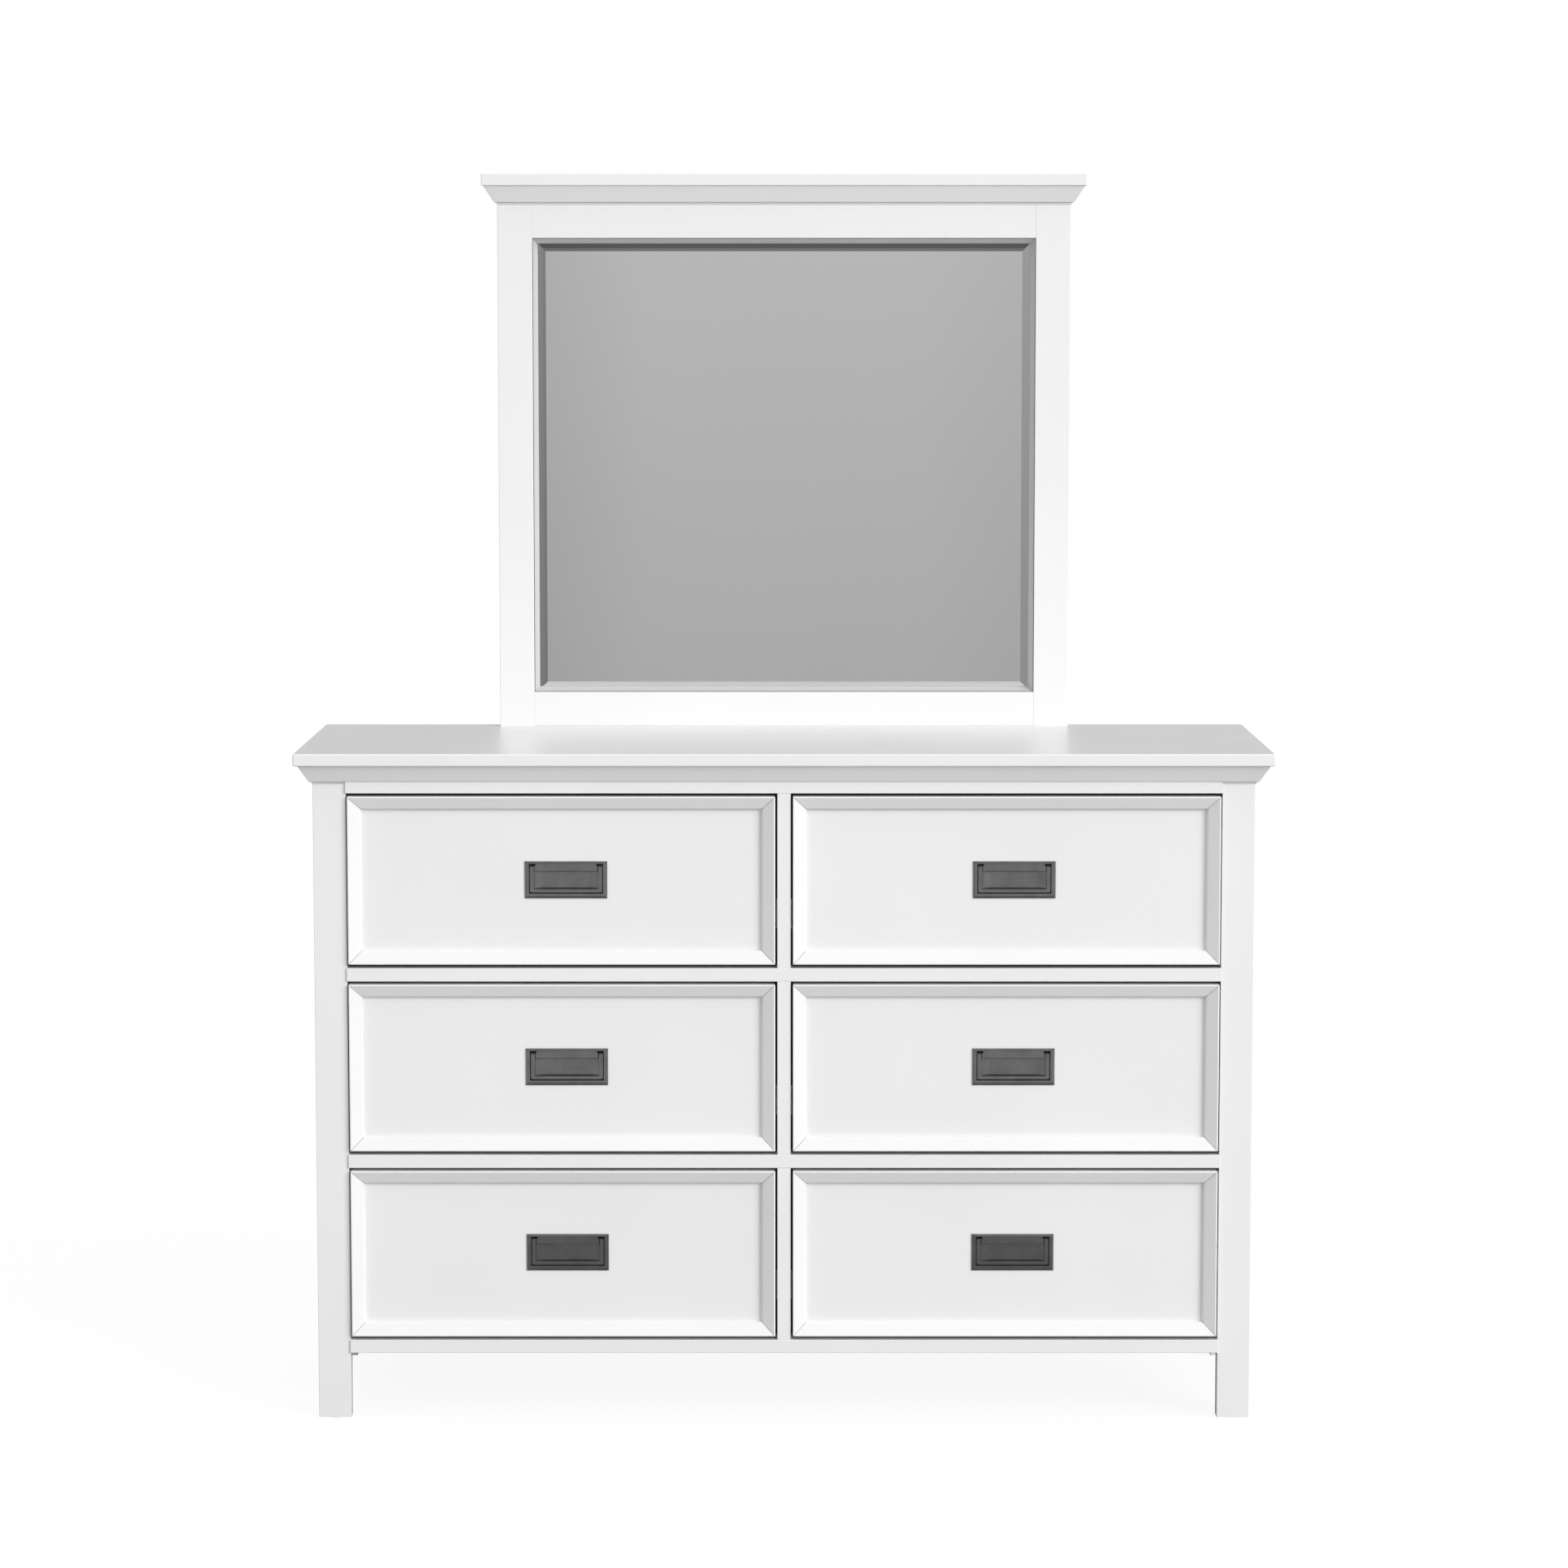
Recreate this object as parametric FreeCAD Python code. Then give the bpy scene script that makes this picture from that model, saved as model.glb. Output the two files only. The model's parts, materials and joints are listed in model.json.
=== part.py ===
import FreeCAD
import Part
import math
import os

from FreeCAD import Vector

# Six-drawer dresser with a framed mirror, in millimetres.
# X runs along the front, -Y is the front, +Z is up.  The origin lies on the floor at the
# centre of the whole object's bounding box.

# ------------------------------------------------------------------ driving dimensions
# Top board and case
top_width = 1420.0
top_depth = 482.0
top_thickness = 18.0
top_overhang = 26.0               # board past the case at the front and at each side
board_edge_radius = 2.0
wood_edge_radius = 1.0            # eased long edges of stiles, rails and battens

# Legs and side frames
glide_thickness = 1.5
glide_diameter = 15.0
front_stile_width = 47.5
front_stile_thickness = 25.0
side_thickness = 19.0             # stiles and rails of the side frames
side_stile_width = 60.0           # width of a leg seen from the side
side_rail_height = 60.0
side_panel_thickness = 6.0
groove_depth = 9.0
groove_end_gap = 1.0              # panel edge to the bottom of its groove
groove_side_gap = 0.25            # panel face to the wall of its groove

# Front frame
floor_gap = 98.0                  # floor to the lower edge of the bottom rail
rail_height = 19.5
rail_depth = 45.0
rail_proud = 3.0                  # rails ahead of the front stiles
top_rail_band_height = 18.0       # part of the top rail that shows below the moulding
opening_height = 256.0
centre_stile_width = 19.5
centre_stile_setback = 0.5        # centre stiles behind the faces of the rails
centre_stile_edge_radius = 0.6    # eased all round, across the ends too

# Back of the case
back_thickness = 5.0
back_side_gap = 0.3
bottom_thickness = 5.0
bottom_lift = 6.0                 # underside of the bottoms above the rails' lower edges
rear_rail_thickness = 18.0
rear_rail_height = 60.0
corner_block_leg = 40.0
corner_block_height = 30.0

# Cornice moulding, used under the top board and under the mirror's cap
moulding_height = 27.0
moulding_lap = 3.5                # top rail's band above the moulding's lower edge
moulding_projection = 19.5
moulding_toe = 3.2                # out from the case, where the slope's line meets the foot
moulding_foot_radius = 10.0       # rounding between the case and the slope
moulding_top_lip = 1.0

# Drawers
drawer_inner_gap = 3.1            # drawer front to the centre stile
drawer_outer_gap = 2.1            # drawer front to the front stile
drawer_top_gap = 4.5              # drawer front to the rail above
drawer_bottom_gap = 5.5           # drawer front to the rail below
drawer_front_proud = 6.0          # moulded edge ahead of the front stiles
panel_recess = 16.0               # moulded edge to the face of the flat panel
panel_thickness = 12.0
edge_moulding_width = 19.5
edge_moulding_radius = 1.5        # rounding of the outer edge
edge_moulding_slope = 30.0        # degrees between the slope and the panel
edge_moulding_nose_radius = 5.0   # rounding where the slope turns down to the panel
box_board_thickness = 12.0
box_bottom_thickness = 5.0
box_bottom_lift = 9.0             # underside of the bottom above the lower box edge
box_groove_depth = 5.0
box_lift = 16.0                   # box above the lower edge of its opening
box_top_gap = 50.0                # box below the upper edge of its opening
box_rear_gap = 10.0               # box to the rear rails

# Side-mounted drawer runners
runner_height = 42.0
runner_space = 13.0               # side of the case to the side of the drawer box
runner_metal = 1.2
runner_lip = 9.0
runner_clearance = 0.4
runner_front_setback = 30.0       # front end of the runner behind the front stiles' faces
runner_rear_gap = 23.0            # rear end of the runner to the rear rails
runner_centre_height = 60.0       # runner's centre line above the lower box edge
runner_batten_height = 60.0

# Recessed campaign pull
pull_offset_left = 6.25           # pull right of its drawer front's centre, left column
pull_offset_right = 11.75         # the same in the right column
plate_width = 120.0
plate_height = 54.0
plate_side_border = 6.4           # plate's edge to the recess that the bail lies in
plate_top_border = 3.8
plate_bottom_border = 7.2
plate_proud = 3.0
plate_bevel_width = 3.0
plate_bevel_height = 1.6
plate_wall = 1.2
cutout_clearance = 0.5            # pull's body to the edge of the panel's cut-out
bail_thickness = 4.0
bail_leg_width = 6.6
bail_bar_height = 5.7
bail_front_setback = 0.4
bail_edge_radius = 0.8
bail_corner_radius = 1.6
bail_floor_gap = 0.4
bail_inner_gap = 0.4
bail_outer_gap = 0.6
bail_top_gap = 3.0
bail_bottom_gap = 0.8
bail_pin_diameter = 2.5
bail_pin_length = 4.0
bail_pin_end_gap = 0.3
bail_pin_clearance = 0.05         # radial
header_height = 10.8              # raised part between the tops of the bail's legs
dish_side_inset = 2.0             # dish's rim inside the ends of the header
dish_bottom_inset = 2.8           # dish's rim above the lower edge of the recess
dish_depth = 5.0
dish_end_taper = 9.0
dish_long_taper = 2.5
slot_depth = 7.2                  # pockets above the bail's ends, behind its recess's floor
pull_screw_inset = 12.0           # screw's centre inside the end of the header
pull_boss_diameter = 7.0
pull_screw_diameter = 4.0
pull_screw_head_diameter = 8.0
pull_screw_head_height = 2.6
pull_screw_engagement = 10.0      # shank inside the boss and the plate
screw_clearance = 0.05            # radial, between a screw and its hole

# Mirror
mirror_width = 876.0
mirror_frame_height = 827.0       # top board to the underside of the cap
mirror_thickness = 25.0
mirror_stile_width = 53.0
mirror_bottom_rail_height = 52.5
mirror_top_rail_height = 79.0
cap_thickness = 18.0
cap_overhang = 23.0
cap_edge_radius = 1.5
sticking_width = 7.5
sticking_setback = 0.5
sticking_toe = 1.5                # straight inner edge that bears on the glass
sticking_hollow = 0.6             # how far the slope is hollowed
glass_clearance = 0.5
glass_setback = 17.0              # face of the glass behind the face of the frame
glass_thickness = 5.0
glass_bevel_width = 16.3
glass_bevel_drop = 2.0
support_width = 50.0
support_thickness = 18.0
support_top_above_board = 560.0
support_bottom_below_board = 260.0
support_screw_diameter = 4.0
support_screw_head_diameter = 8.0
support_screw_head_depth = 2.6
support_screw_sink = 0.3          # head below the face of the support
support_screw_length = 30.0
support_screw_heights = (-50.0, -34.0, 150.0, 480.0)   # above the top board's upper face

# ------------------------------------------------------------------ derived places
total_depth = top_depth + support_thickness
y_front = -total_depth / 2
y_back = y_front + top_depth
y_case = y_front + top_overhang                  # faces of the front stiles
y_rail_front = y_case - rail_proud
y_rail_back = y_rail_front + rail_depth
y_rear_rail_front = y_back - back_thickness - rear_rail_thickness
half_case = top_width / 2 - top_overhang
half_opening = half_case - front_stile_width
half_inside = half_case - side_thickness
row_pitch = opening_height + rail_height
top_rail_bottom = floor_gap + 3 * row_pitch
top_rail_band_top = top_rail_bottom + top_rail_band_height
moulding_bottom = top_rail_band_top - moulding_lap
case_top = moulding_bottom + moulding_height
top_height = case_top + top_thickness            # floor to the top board's upper face

y_side_front = y_case + front_stile_thickness
y_side_panel_front = y_case + side_stile_width
y_side_panel_back = y_back - side_stile_width
z_side_panel_bottom = floor_gap + side_rail_height
z_side_panel_top = case_top - side_rail_height

y_moulded_edge = y_case - drawer_front_proud
y_panel = y_moulded_edge + panel_recess          # face of a drawer's flat panel
y_box = y_panel + panel_thickness                # front of the drawer box
opening_width = half_opening - centre_stile_width / 2
x_opening = (half_opening + centre_stile_width / 2) / 2
x_drawer_front = x_opening + (drawer_inner_gap - drawer_outer_gap) / 2
drawer_front_width = opening_width - drawer_inner_gap - drawer_outer_gap
drawer_front_height = opening_height - drawer_top_gap - drawer_bottom_gap
box_width = opening_width - 2 * runner_space
box_height = opening_height - box_lift - box_top_gap
box_length = y_rear_rail_front - box_rear_gap - y_box
y_runner = y_case + runner_front_setback
runner_length = y_rear_rail_front - runner_rear_gap - y_runner

y_plate = y_panel - plate_proud
y_bail_floor = y_plate + bail_front_setback + bail_thickness + bail_floor_gap
y_bail_axis = y_plate + bail_front_setback + bail_thickness / 2
recess_half = plate_width / 2 - plate_side_border
recess_top = plate_height / 2 - plate_top_border          # from the plate's centre
recess_bottom = plate_bottom_border - plate_height / 2
half_bail = recess_half - bail_outer_gap
bail_axis = recess_top - bail_top_gap - bail_thickness / 2
bail_bottom = recess_bottom + bail_bottom_gap
header_half = half_bail - bail_leg_width - bail_inner_gap
header_bottom = recess_top - header_height
dish_half = header_half - dish_side_inset
dish_bottom = recess_bottom + dish_bottom_inset
pull_screw_rise = (recess_top + header_bottom) / 2
pan_half = recess_half + plate_wall
y_pan_back = y_bail_floor + plate_wall
y_slot = y_bail_floor + slot_depth

y_mirror = y_back - mirror_thickness             # face of the mirror's frame
half_mirror = mirror_width / 2
mirror_top = top_height + mirror_frame_height
half_glass_opening = half_mirror - mirror_stile_width
glass_opening_bottom = top_height + mirror_bottom_rail_height
glass_opening_top = mirror_top - mirror_top_rail_height
y_glass = y_mirror + glass_setback
y_glass_back = y_glass + glass_thickness
bevel_run = glass_bevel_width - glass_clearance
y_sticking_back = y_glass + glass_bevel_drop * (glass_bevel_width - sticking_width) / bevel_run

rows = ("bottom", "middle", "top")
columns = (("left", -1), ("right", 1))


# ------------------------------------------------------------------ shared shapes
def block(x0, x1, y0, y1, z0, z1):
    """Rectangular solid between two corners."""
    return Part.makeBox(x1 - x0, y1 - y0, z1 - z0, Vector(x0, y0, z0))


def eased(shape, radius, axis):
    """Round the straight edges that run along one axis."""
    edges = []
    for edge in shape.Edges:
        run = edge.Vertexes[-1].Point - edge.Vertexes[0].Point
        if abs(run.dot(axis)) > 0.999 * edge.Length:
            edges.append(edge)
    return shape.makeFillet(radius, edges)


def upright(x0, x1, y0, y1, z0, z1):
    """Vertical board with eased long edges."""
    return eased(block(x0, x1, y0, y1, z0, z1), wood_edge_radius, Vector(0, 0, 1))


def crossbar(x0, x1, y0, y1, z0, z1):
    """Board along the front with eased long edges."""
    return eased(block(x0, x1, y0, y1, z0, z1), wood_edge_radius, Vector(1, 0, 0))


def other_side(shape):
    """The same piece on the left of the object."""
    return shape.mirror(Vector(0, 0, 0), Vector(1, 0, 0))


def pair(shape):
    """A right-hand piece and its left-hand partner."""
    return [shape, other_side(shape)]


def face_of(edges):
    """Flat face inside a closed run of edges."""
    return Part.Face(Part.Wire(edges))


def polygon_face(points):
    """Flat face inside a polygon."""
    return Part.Face(Part.makePolygon(points + [points[0]]))


def line(a, b):
    """Straight edge."""
    return Part.LineSegment(a, b).toShape()


def arc(a, middle, b):
    """Circular edge through three points."""
    return Part.Arc(a, middle, b).toShape()


def cornice_section(place):
    """Section: a rounded foot, a straight slope outwards and a thin upper lip.

    place(out, up) turns a distance out from the case and a height above the moulding's
    lower edge into a point.
    """
    lip_up = moulding_height - moulding_top_lip
    slope = math.atan((moulding_projection - moulding_toe) / lip_up)
    radius = moulding_foot_radius
    clear = moulding_toe * math.cos(slope)           # foot's corner to the slope's line
    run = math.sqrt(clear * (2 * radius - clear))    # along that line to the end of the arc
    half_turn = math.acos(1 - clear / radius) / 2

    def leaning(across, along):
        return place(across * math.cos(slope) + along * math.sin(slope),
                     along * math.cos(slope) - across * math.sin(slope))

    foot = place(0, 0)
    middle = leaning(clear - radius * (1 - math.cos(half_turn)),
                     run - radius * math.sin(half_turn))
    shoulder = leaning(clear, run)
    nose = place(moulding_projection, lip_up)
    top = place(moulding_projection, moulding_height)
    back = place(0, moulding_height)
    return face_of([arc(foot, middle, shoulder), line(shoulder, nose), line(nose, top),
                    line(top, back), line(back, foot)])


def cornice(half_width, y_face, y_end, z_bottom):
    """Front and side lengths of the cornice, mitred at the two front corners."""
    reach = moulding_projection
    z_top = z_bottom + moulding_height
    front_section = cornice_section(
        lambda out, up: Vector(-half_width - reach, y_face - out, z_bottom + up))
    side_section = cornice_section(
        lambda out, up: Vector(half_width + out, y_face - reach, z_bottom + up))
    front = front_section.extrude(Vector(2 * (half_width + reach), 0, 0))
    side = side_section.extrude(Vector(0, y_end - y_face + reach, 0))
    front_plan = polygon_face([Vector(-half_width, y_face, z_bottom),
                               Vector(half_width, y_face, z_bottom),
                               Vector(half_width + reach, y_face - reach, z_bottom),
                               Vector(-half_width - reach, y_face - reach, z_bottom)])
    side_plan = polygon_face([Vector(half_width, y_face, z_bottom),
                              Vector(half_width, y_end, z_bottom),
                              Vector(half_width + reach, y_end, z_bottom),
                              Vector(half_width + reach, y_face - reach, z_bottom)])
    up = Vector(0, 0, z_top - z_bottom)
    return [front.common(front_plan.extrude(up))] + pair(side.common(side_plan.extrude(up)))


def mitred_frame(x_centre, z_centre, half_width, half_height, width, section):
    """Four mitred lengths round a rectangle that faces the front.

    section(place) draws the face of one length; place(inward, y) turns a distance in from
    the outer edge and a Y into a point.
    """
    pieces = []
    for across, turn in ((half_height, 0), (half_width, 1)):
        along = half_width if turn == 0 else half_height
        for side in (1, -1):
            def point(run, rise, y, turn=turn, side=side):
                if turn == 0:
                    return Vector(x_centre + run, y, z_centre + side * rise)
                return Vector(x_centre + side * rise, y, z_centre + run)

            bar = section(lambda inward, y: point(-along, across - inward, y))
            bar = bar.extrude(point(along, 0, 0) - point(-along, 0, 0))
            limits = bar.BoundBox
            outline = polygon_face([point(-along, across, limits.YMin),
                                    point(along, across, limits.YMin),
                                    point(along - width, across - width, limits.YMin),
                                    point(width - along, across - width, limits.YMin)])
            pieces.append(bar.common(outline.extrude(Vector(0, limits.YLength, 0))))
    return pieces


# ------------------------------------------------------------------ case
def top_board():
    """Board with all its upper and lower edges rounded."""
    board = block(-top_width / 2, top_width / 2, y_front, y_back, case_top, top_height)
    return [board.makeFillet(board_edge_radius, board.Edges)]


def top_moulding():
    """Cornice under the board; its front length is notched over the top rail."""
    front, right, left = cornice(half_case, y_case, y_back, moulding_bottom)
    notch = block(-half_opening, half_opening, y_front, y_case,
                  moulding_bottom, top_rail_band_top)
    return [front.cut(notch), right, left]


def front_stiles():
    """Flat stiles that form the faces of the front legs."""
    return pair(upright(half_opening, half_case, y_case, y_case + front_stile_thickness,
                        glide_thickness, case_top))


def side_frame_groove():
    """Space that the grooves of one side frame leave for the panel and its gaps."""
    middle = half_case - side_thickness / 2
    half_groove = side_panel_thickness / 2 + groove_side_gap
    return block(middle - half_groove, middle + half_groove,
                 y_side_panel_front - groove_depth, y_side_panel_back + groove_depth,
                 z_side_panel_bottom - groove_depth, z_side_panel_top + groove_depth)


def side_stiles():
    """Stiles of the side frames, behind the front stiles and as the back legs."""
    front = upright(half_inside, half_case, y_side_front, y_side_panel_front,
                    glide_thickness, case_top)
    rear = upright(half_inside, half_case, y_side_panel_back, y_back,
                   glide_thickness, case_top)
    groove = side_frame_groove()
    return pair(front.cut(groove)) + pair(rear.cut(groove))


def side_rails():
    """Upper and lower rails between the stiles of each side frame."""
    lower = block(half_inside, half_case, y_side_panel_front, y_side_panel_back,
                  floor_gap, z_side_panel_bottom)
    upper = block(half_inside, half_case, y_side_panel_front, y_side_panel_back,
                  z_side_panel_top, case_top)
    groove = side_frame_groove()
    return pair(lower.cut(groove)) + pair(upper.cut(groove))


def side_panels():
    """Thin panels held in the grooves of the side frames."""
    middle = half_case - side_thickness / 2
    tongue = groove_depth - groove_end_gap
    return pair(block(middle - side_panel_thickness / 2, middle + side_panel_thickness / 2,
                      y_side_panel_front - tongue, y_side_panel_back + tongue,
                      z_side_panel_bottom - tongue, z_side_panel_top + tongue))


def rail_bottom(level):
    """Lower edge of a front rail; level 0 is the lowest of the four."""
    return floor_gap + level * row_pitch


def front_rails():
    """Three equal rails and the top rail, which rises behind the cornice."""
    rails = []
    for level in range(3):
        rails.append(crossbar(-half_opening, half_opening, y_rail_front, y_rail_back,
                              rail_bottom(level), rail_bottom(level) + rail_height))
    band = crossbar(-half_opening, half_opening, y_rail_front, y_rail_back,
                    top_rail_bottom, top_rail_band_top)
    upper = block(-half_opening, half_opening, y_case, y_rail_back,
                  top_rail_band_top - wood_edge_radius, case_top)
    rails.append(band.fuse(upper).removeSplitter())
    return rails


def centre_stiles():
    """Three short stiles between the rails."""
    stiles = []
    for level in range(3):
        stile = block(-centre_stile_width / 2, centre_stile_width / 2,
                      y_rail_front + centre_stile_setback, y_rail_back,
                      rail_bottom(level) + rail_height, rail_bottom(level + 1))
        stiles.append(stile.makeFillet(centre_stile_edge_radius, stile.Edges))
    return stiles


def centre_partition():
    """Board that carries the inner runners of both columns."""
    return [block(-centre_stile_width / 2, centre_stile_width / 2,
                  y_rail_back, y_rear_rail_front,
                  floor_gap, case_top)]


def rear_rails():
    """Upper and lower rails that stiffen the back."""
    lower = floor_gap
    return [crossbar(-half_inside, half_inside, y_rear_rail_front, y_back - back_thickness,
                     bottom, bottom + rear_rail_height)
            for bottom in (lower, case_top - rear_rail_height)]


def back_panel():
    """Thin back between the side frames."""
    half = half_inside - back_side_gap
    panel = block(-half, half, y_back - back_thickness, y_back,
                  floor_gap, case_top)
    return [cut_all(panel, support_screw_holes())]


def bottom_panels():
    """Thin dust bottoms that close the case between the rails, each side of the partition."""
    low = floor_gap + bottom_lift
    return pair(block(centre_stile_width / 2, half_inside, y_rail_back, y_rear_rail_front,
                      low, low + bottom_thickness))


def corner_blocks():
    """Triangular glue blocks under the top board, behind the front and before the rear rail."""
    blocks = []
    for y_corner, into in ((y_rail_back, 1), (y_rear_rail_front, -1)):
        plan = polygon_face([Vector(half_inside, y_corner, case_top - corner_block_height),
                             Vector(half_inside - corner_block_leg, y_corner,
                                    case_top - corner_block_height),
                             Vector(half_inside, y_corner + into * corner_block_leg,
                                    case_top - corner_block_height)])
        blocks += pair(plan.extrude(Vector(0, 0, corner_block_height)))
    return blocks


def foot_glides():
    """Round nylon glides under the four legs."""
    x_front = half_opening + front_stile_width / 2
    x_rear = half_case - side_thickness / 2
    glides = []
    for x, y in ((x_front, y_case + front_stile_thickness / 2),
                 (x_rear, y_back - side_stile_width / 2)):
        glides += pair(Part.makeCylinder(glide_diameter / 2, glide_thickness, Vector(x, y, 0)))
    return glides


# ------------------------------------------------------------------ drawer runners
def box_bottom(row):
    """Lower edge of a drawer box."""
    return rail_bottom(row) + rail_height + box_lift


def runner_centre(row):
    """Height of a runner's centre line."""
    return box_bottom(row) + runner_centre_height


def runner_battens():
    """Battens that bring the sides of the case out to the front stiles' inner edges."""
    battens = []
    for row in range(3):
        z = runner_centre(row) - runner_batten_height / 2
        battens += pair(block(half_opening, half_inside, y_side_front,
                              y_back - back_thickness, z, z + runner_batten_height))
    return battens


def channel(x_web, into, height, lip, z_centre):
    """C-section runner member; into is the X direction that its lips point in."""
    y0 = y_runner
    y1 = y0 + runner_length
    z0 = z_centre - height / 2
    z1 = z_centre + height / 2

    def plate(a, b, low, high):
        return block(min(a, b), max(a, b), y0, y1, low, high)

    web = plate(x_web, x_web + into * runner_metal, z0, z1)
    lower = plate(x_web, x_web + into * lip, z0, z0 + runner_metal)
    upper = plate(x_web, x_web + into * lip, z1 - runner_metal, z1)
    return web.fuse([lower, upper]).removeSplitter()


def runner_channels():
    """Case members of the twelve runners, on the battens and on the partition."""
    channels = []
    for row in range(3):
        z = runner_centre(row)
        channels += pair(channel(half_opening, -1, runner_height, runner_lip, z))
        channels += pair(channel(centre_stile_width / 2, 1, runner_height, runner_lip, z))
    return channels


def drawer_members(side, row):
    """Drawer members of one drawer's two runners, inside the case members."""
    height = runner_height - 2 * (runner_metal + runner_clearance)
    x_centre = side * x_opening
    half = box_width / 2
    z = runner_centre(row)
    return [channel(x_centre + half, 1, height, runner_lip, z),
            channel(x_centre - half, -1, height, runner_lip, z)]


# ------------------------------------------------------------------ drawers
def front_centre(row):
    """Height of the centre of a drawer front."""
    return rail_bottom(row) + rail_height + drawer_bottom_gap + drawer_front_height / 2


def pull_centre(side, row):
    """X and Z of the centre of a pull."""
    offset = pull_offset_left if side < 0 else pull_offset_right
    return side * x_drawer_front + offset, front_centre(row)


def cut_all(shape, tools):
    """Cut several tools out of a shape."""
    for tool in tools:
        shape = shape.cut(tool)
    return shape


def drawer_panel(side, row):
    """Flat front panel with the cut-out for the pull."""
    x, z = pull_centre(side, row)
    left_edge = side * x_drawer_front - drawer_front_width / 2
    half_height = drawer_front_height / 2
    panel = block(left_edge, left_edge + drawer_front_width, y_panel, y_box,
                  z - half_height, z + half_height)
    half = pan_half + cutout_clearance
    low = z + recess_bottom - plate_wall - cutout_clearance
    high = z + recess_top + plate_wall + cutout_clearance
    return [panel.cut(block(x - half, x + half, y_panel, y_box, low, high))]


def edge_section(place):
    """Section of the applied moulding: rounded outer edge, straight slope, round nose.

    The slope falls inwards from the crest, and the nose turns it into a short upright
    drop onto the panel.
    """
    slope = math.radians(edge_moulding_slope)
    r = edge_moulding_radius
    nose = edge_moulding_nose_radius

    def rounded(radius, centre_in, centre_y, turn):
        return place(centre_in + radius * math.sin(turn), centre_y - radius * math.cos(turn))

    crest_y = y_moulded_edge + r
    nose_in = edge_moulding_width - nose
    slope_run = nose_in - r + (nose - r) * math.sin(slope)
    nose_y = crest_y + (nose - r) * math.cos(slope) + slope_run * math.tan(slope)
    outer_back = place(0, y_panel)
    outer_front = place(0, crest_y)
    crest_middle = rounded(r, r, crest_y, (slope - math.pi / 2) / 2)
    crest = rounded(r, r, crest_y, slope)
    brow = rounded(nose, nose_in, nose_y, slope)
    nose_middle = rounded(nose, nose_in, nose_y, (slope + math.pi / 2) / 2)
    drop = place(edge_moulding_width, nose_y)
    inner_back = place(edge_moulding_width, y_panel)
    return face_of([line(outer_back, outer_front), arc(outer_front, crest_middle, crest),
                    line(crest, brow), arc(brow, nose_middle, drop), line(drop, inner_back),
                    line(inner_back, outer_back)])


def drawer_moulding(side, row):
    """Picture-frame moulding applied round the edge of a drawer front."""
    return mitred_frame(side * x_drawer_front, front_centre(row), drawer_front_width / 2,
                        drawer_front_height / 2, edge_moulding_width, edge_section)


def drawer_box(side, row):
    """Sub-front, sides, back and grooved-in bottom of a drawer."""
    t = box_board_thickness
    x0 = side * x_opening - box_width / 2
    x1 = x0 + box_width
    y1 = y_box + box_length
    z0 = box_bottom(row)
    z1 = z0 + box_height
    floor = z0 + box_bottom_lift
    bottom = block(x0 + t - box_groove_depth, x1 - t + box_groove_depth,
                   y_box + t - box_groove_depth, y1 - t + box_groove_depth,
                   floor, floor + box_bottom_thickness)
    boards = [block(x0, x1, y_box, y_box + t, z0, z1),
              block(x0, x1, y1 - t, y1, z0, z1),
              block(x0, x0 + t, y_box + t, y1 - t, z0, z1),
              block(x1 - t, x1, y_box + t, y1 - t, z0, z1)]
    boards[0] = cut_all(boards[0], pull_screw_holes(side, row))
    return [board.cut(bottom) for board in boards] + [bottom]


# ------------------------------------------------------------------ pulls
def tapered(x, z, half_top, low_top, high_top, y0, y1, end_taper, long_taper):
    """Rectangular solid that narrows between two depths.

    It narrows by end_taper at its left and right and by long_taper at its top and bottom.
    """
    def outline(y, narrow, short):
        x0, x1 = x - half_top + narrow, x + half_top - narrow
        z0, z1 = z + low_top + short, z + high_top - short
        return Part.makePolygon([Vector(x0, y, z0), Vector(x1, y, z0), Vector(x1, y, z1),
                                 Vector(x0, y, z1), Vector(x0, y, z0)])
    return Part.makeLoft([outline(y0, 0, 0), outline(y1, end_taper, long_taper)], True, True)


def pull_screw_places(side, row):
    """X and Z of the two screws that hold a pull."""
    x, z = pull_centre(side, row)
    half_spacing = header_half - pull_screw_inset
    return [(x - half_spacing, z + pull_screw_rise), (x + half_spacing, z + pull_screw_rise)]


def pull_screw_tip():
    """Y of the front ends of the pull's screws."""
    return y_box - pull_screw_engagement


def pull_screw_holes(side, row):
    """Holes for the pull's screws through the sub-front and into the bosses."""
    y1 = y_box + box_board_thickness
    radius = pull_screw_diameter / 2 + screw_clearance
    return [Part.makeCylinder(radius, y1 - pull_screw_tip(), Vector(x, pull_screw_tip(), z),
                              Vector(0, 1, 0))
            for x, z in pull_screw_places(side, row)]


def pull_screws(side, row):
    """Pan-head screws driven from inside the drawer."""
    y1 = y_box + box_board_thickness
    screws = []
    for x, z in pull_screw_places(side, row):
        shank = Part.makeCylinder(pull_screw_diameter / 2, y1 - pull_screw_tip(),
                                  Vector(x, pull_screw_tip(), z), Vector(0, 1, 0))
        head = Part.makeCone(pull_screw_head_diameter / 2, pull_screw_head_diameter / 3,
                             pull_screw_head_height, Vector(x, y1, z), Vector(0, 1, 0))
        screws.append(shank.fuse(head))
    return screws


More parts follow.
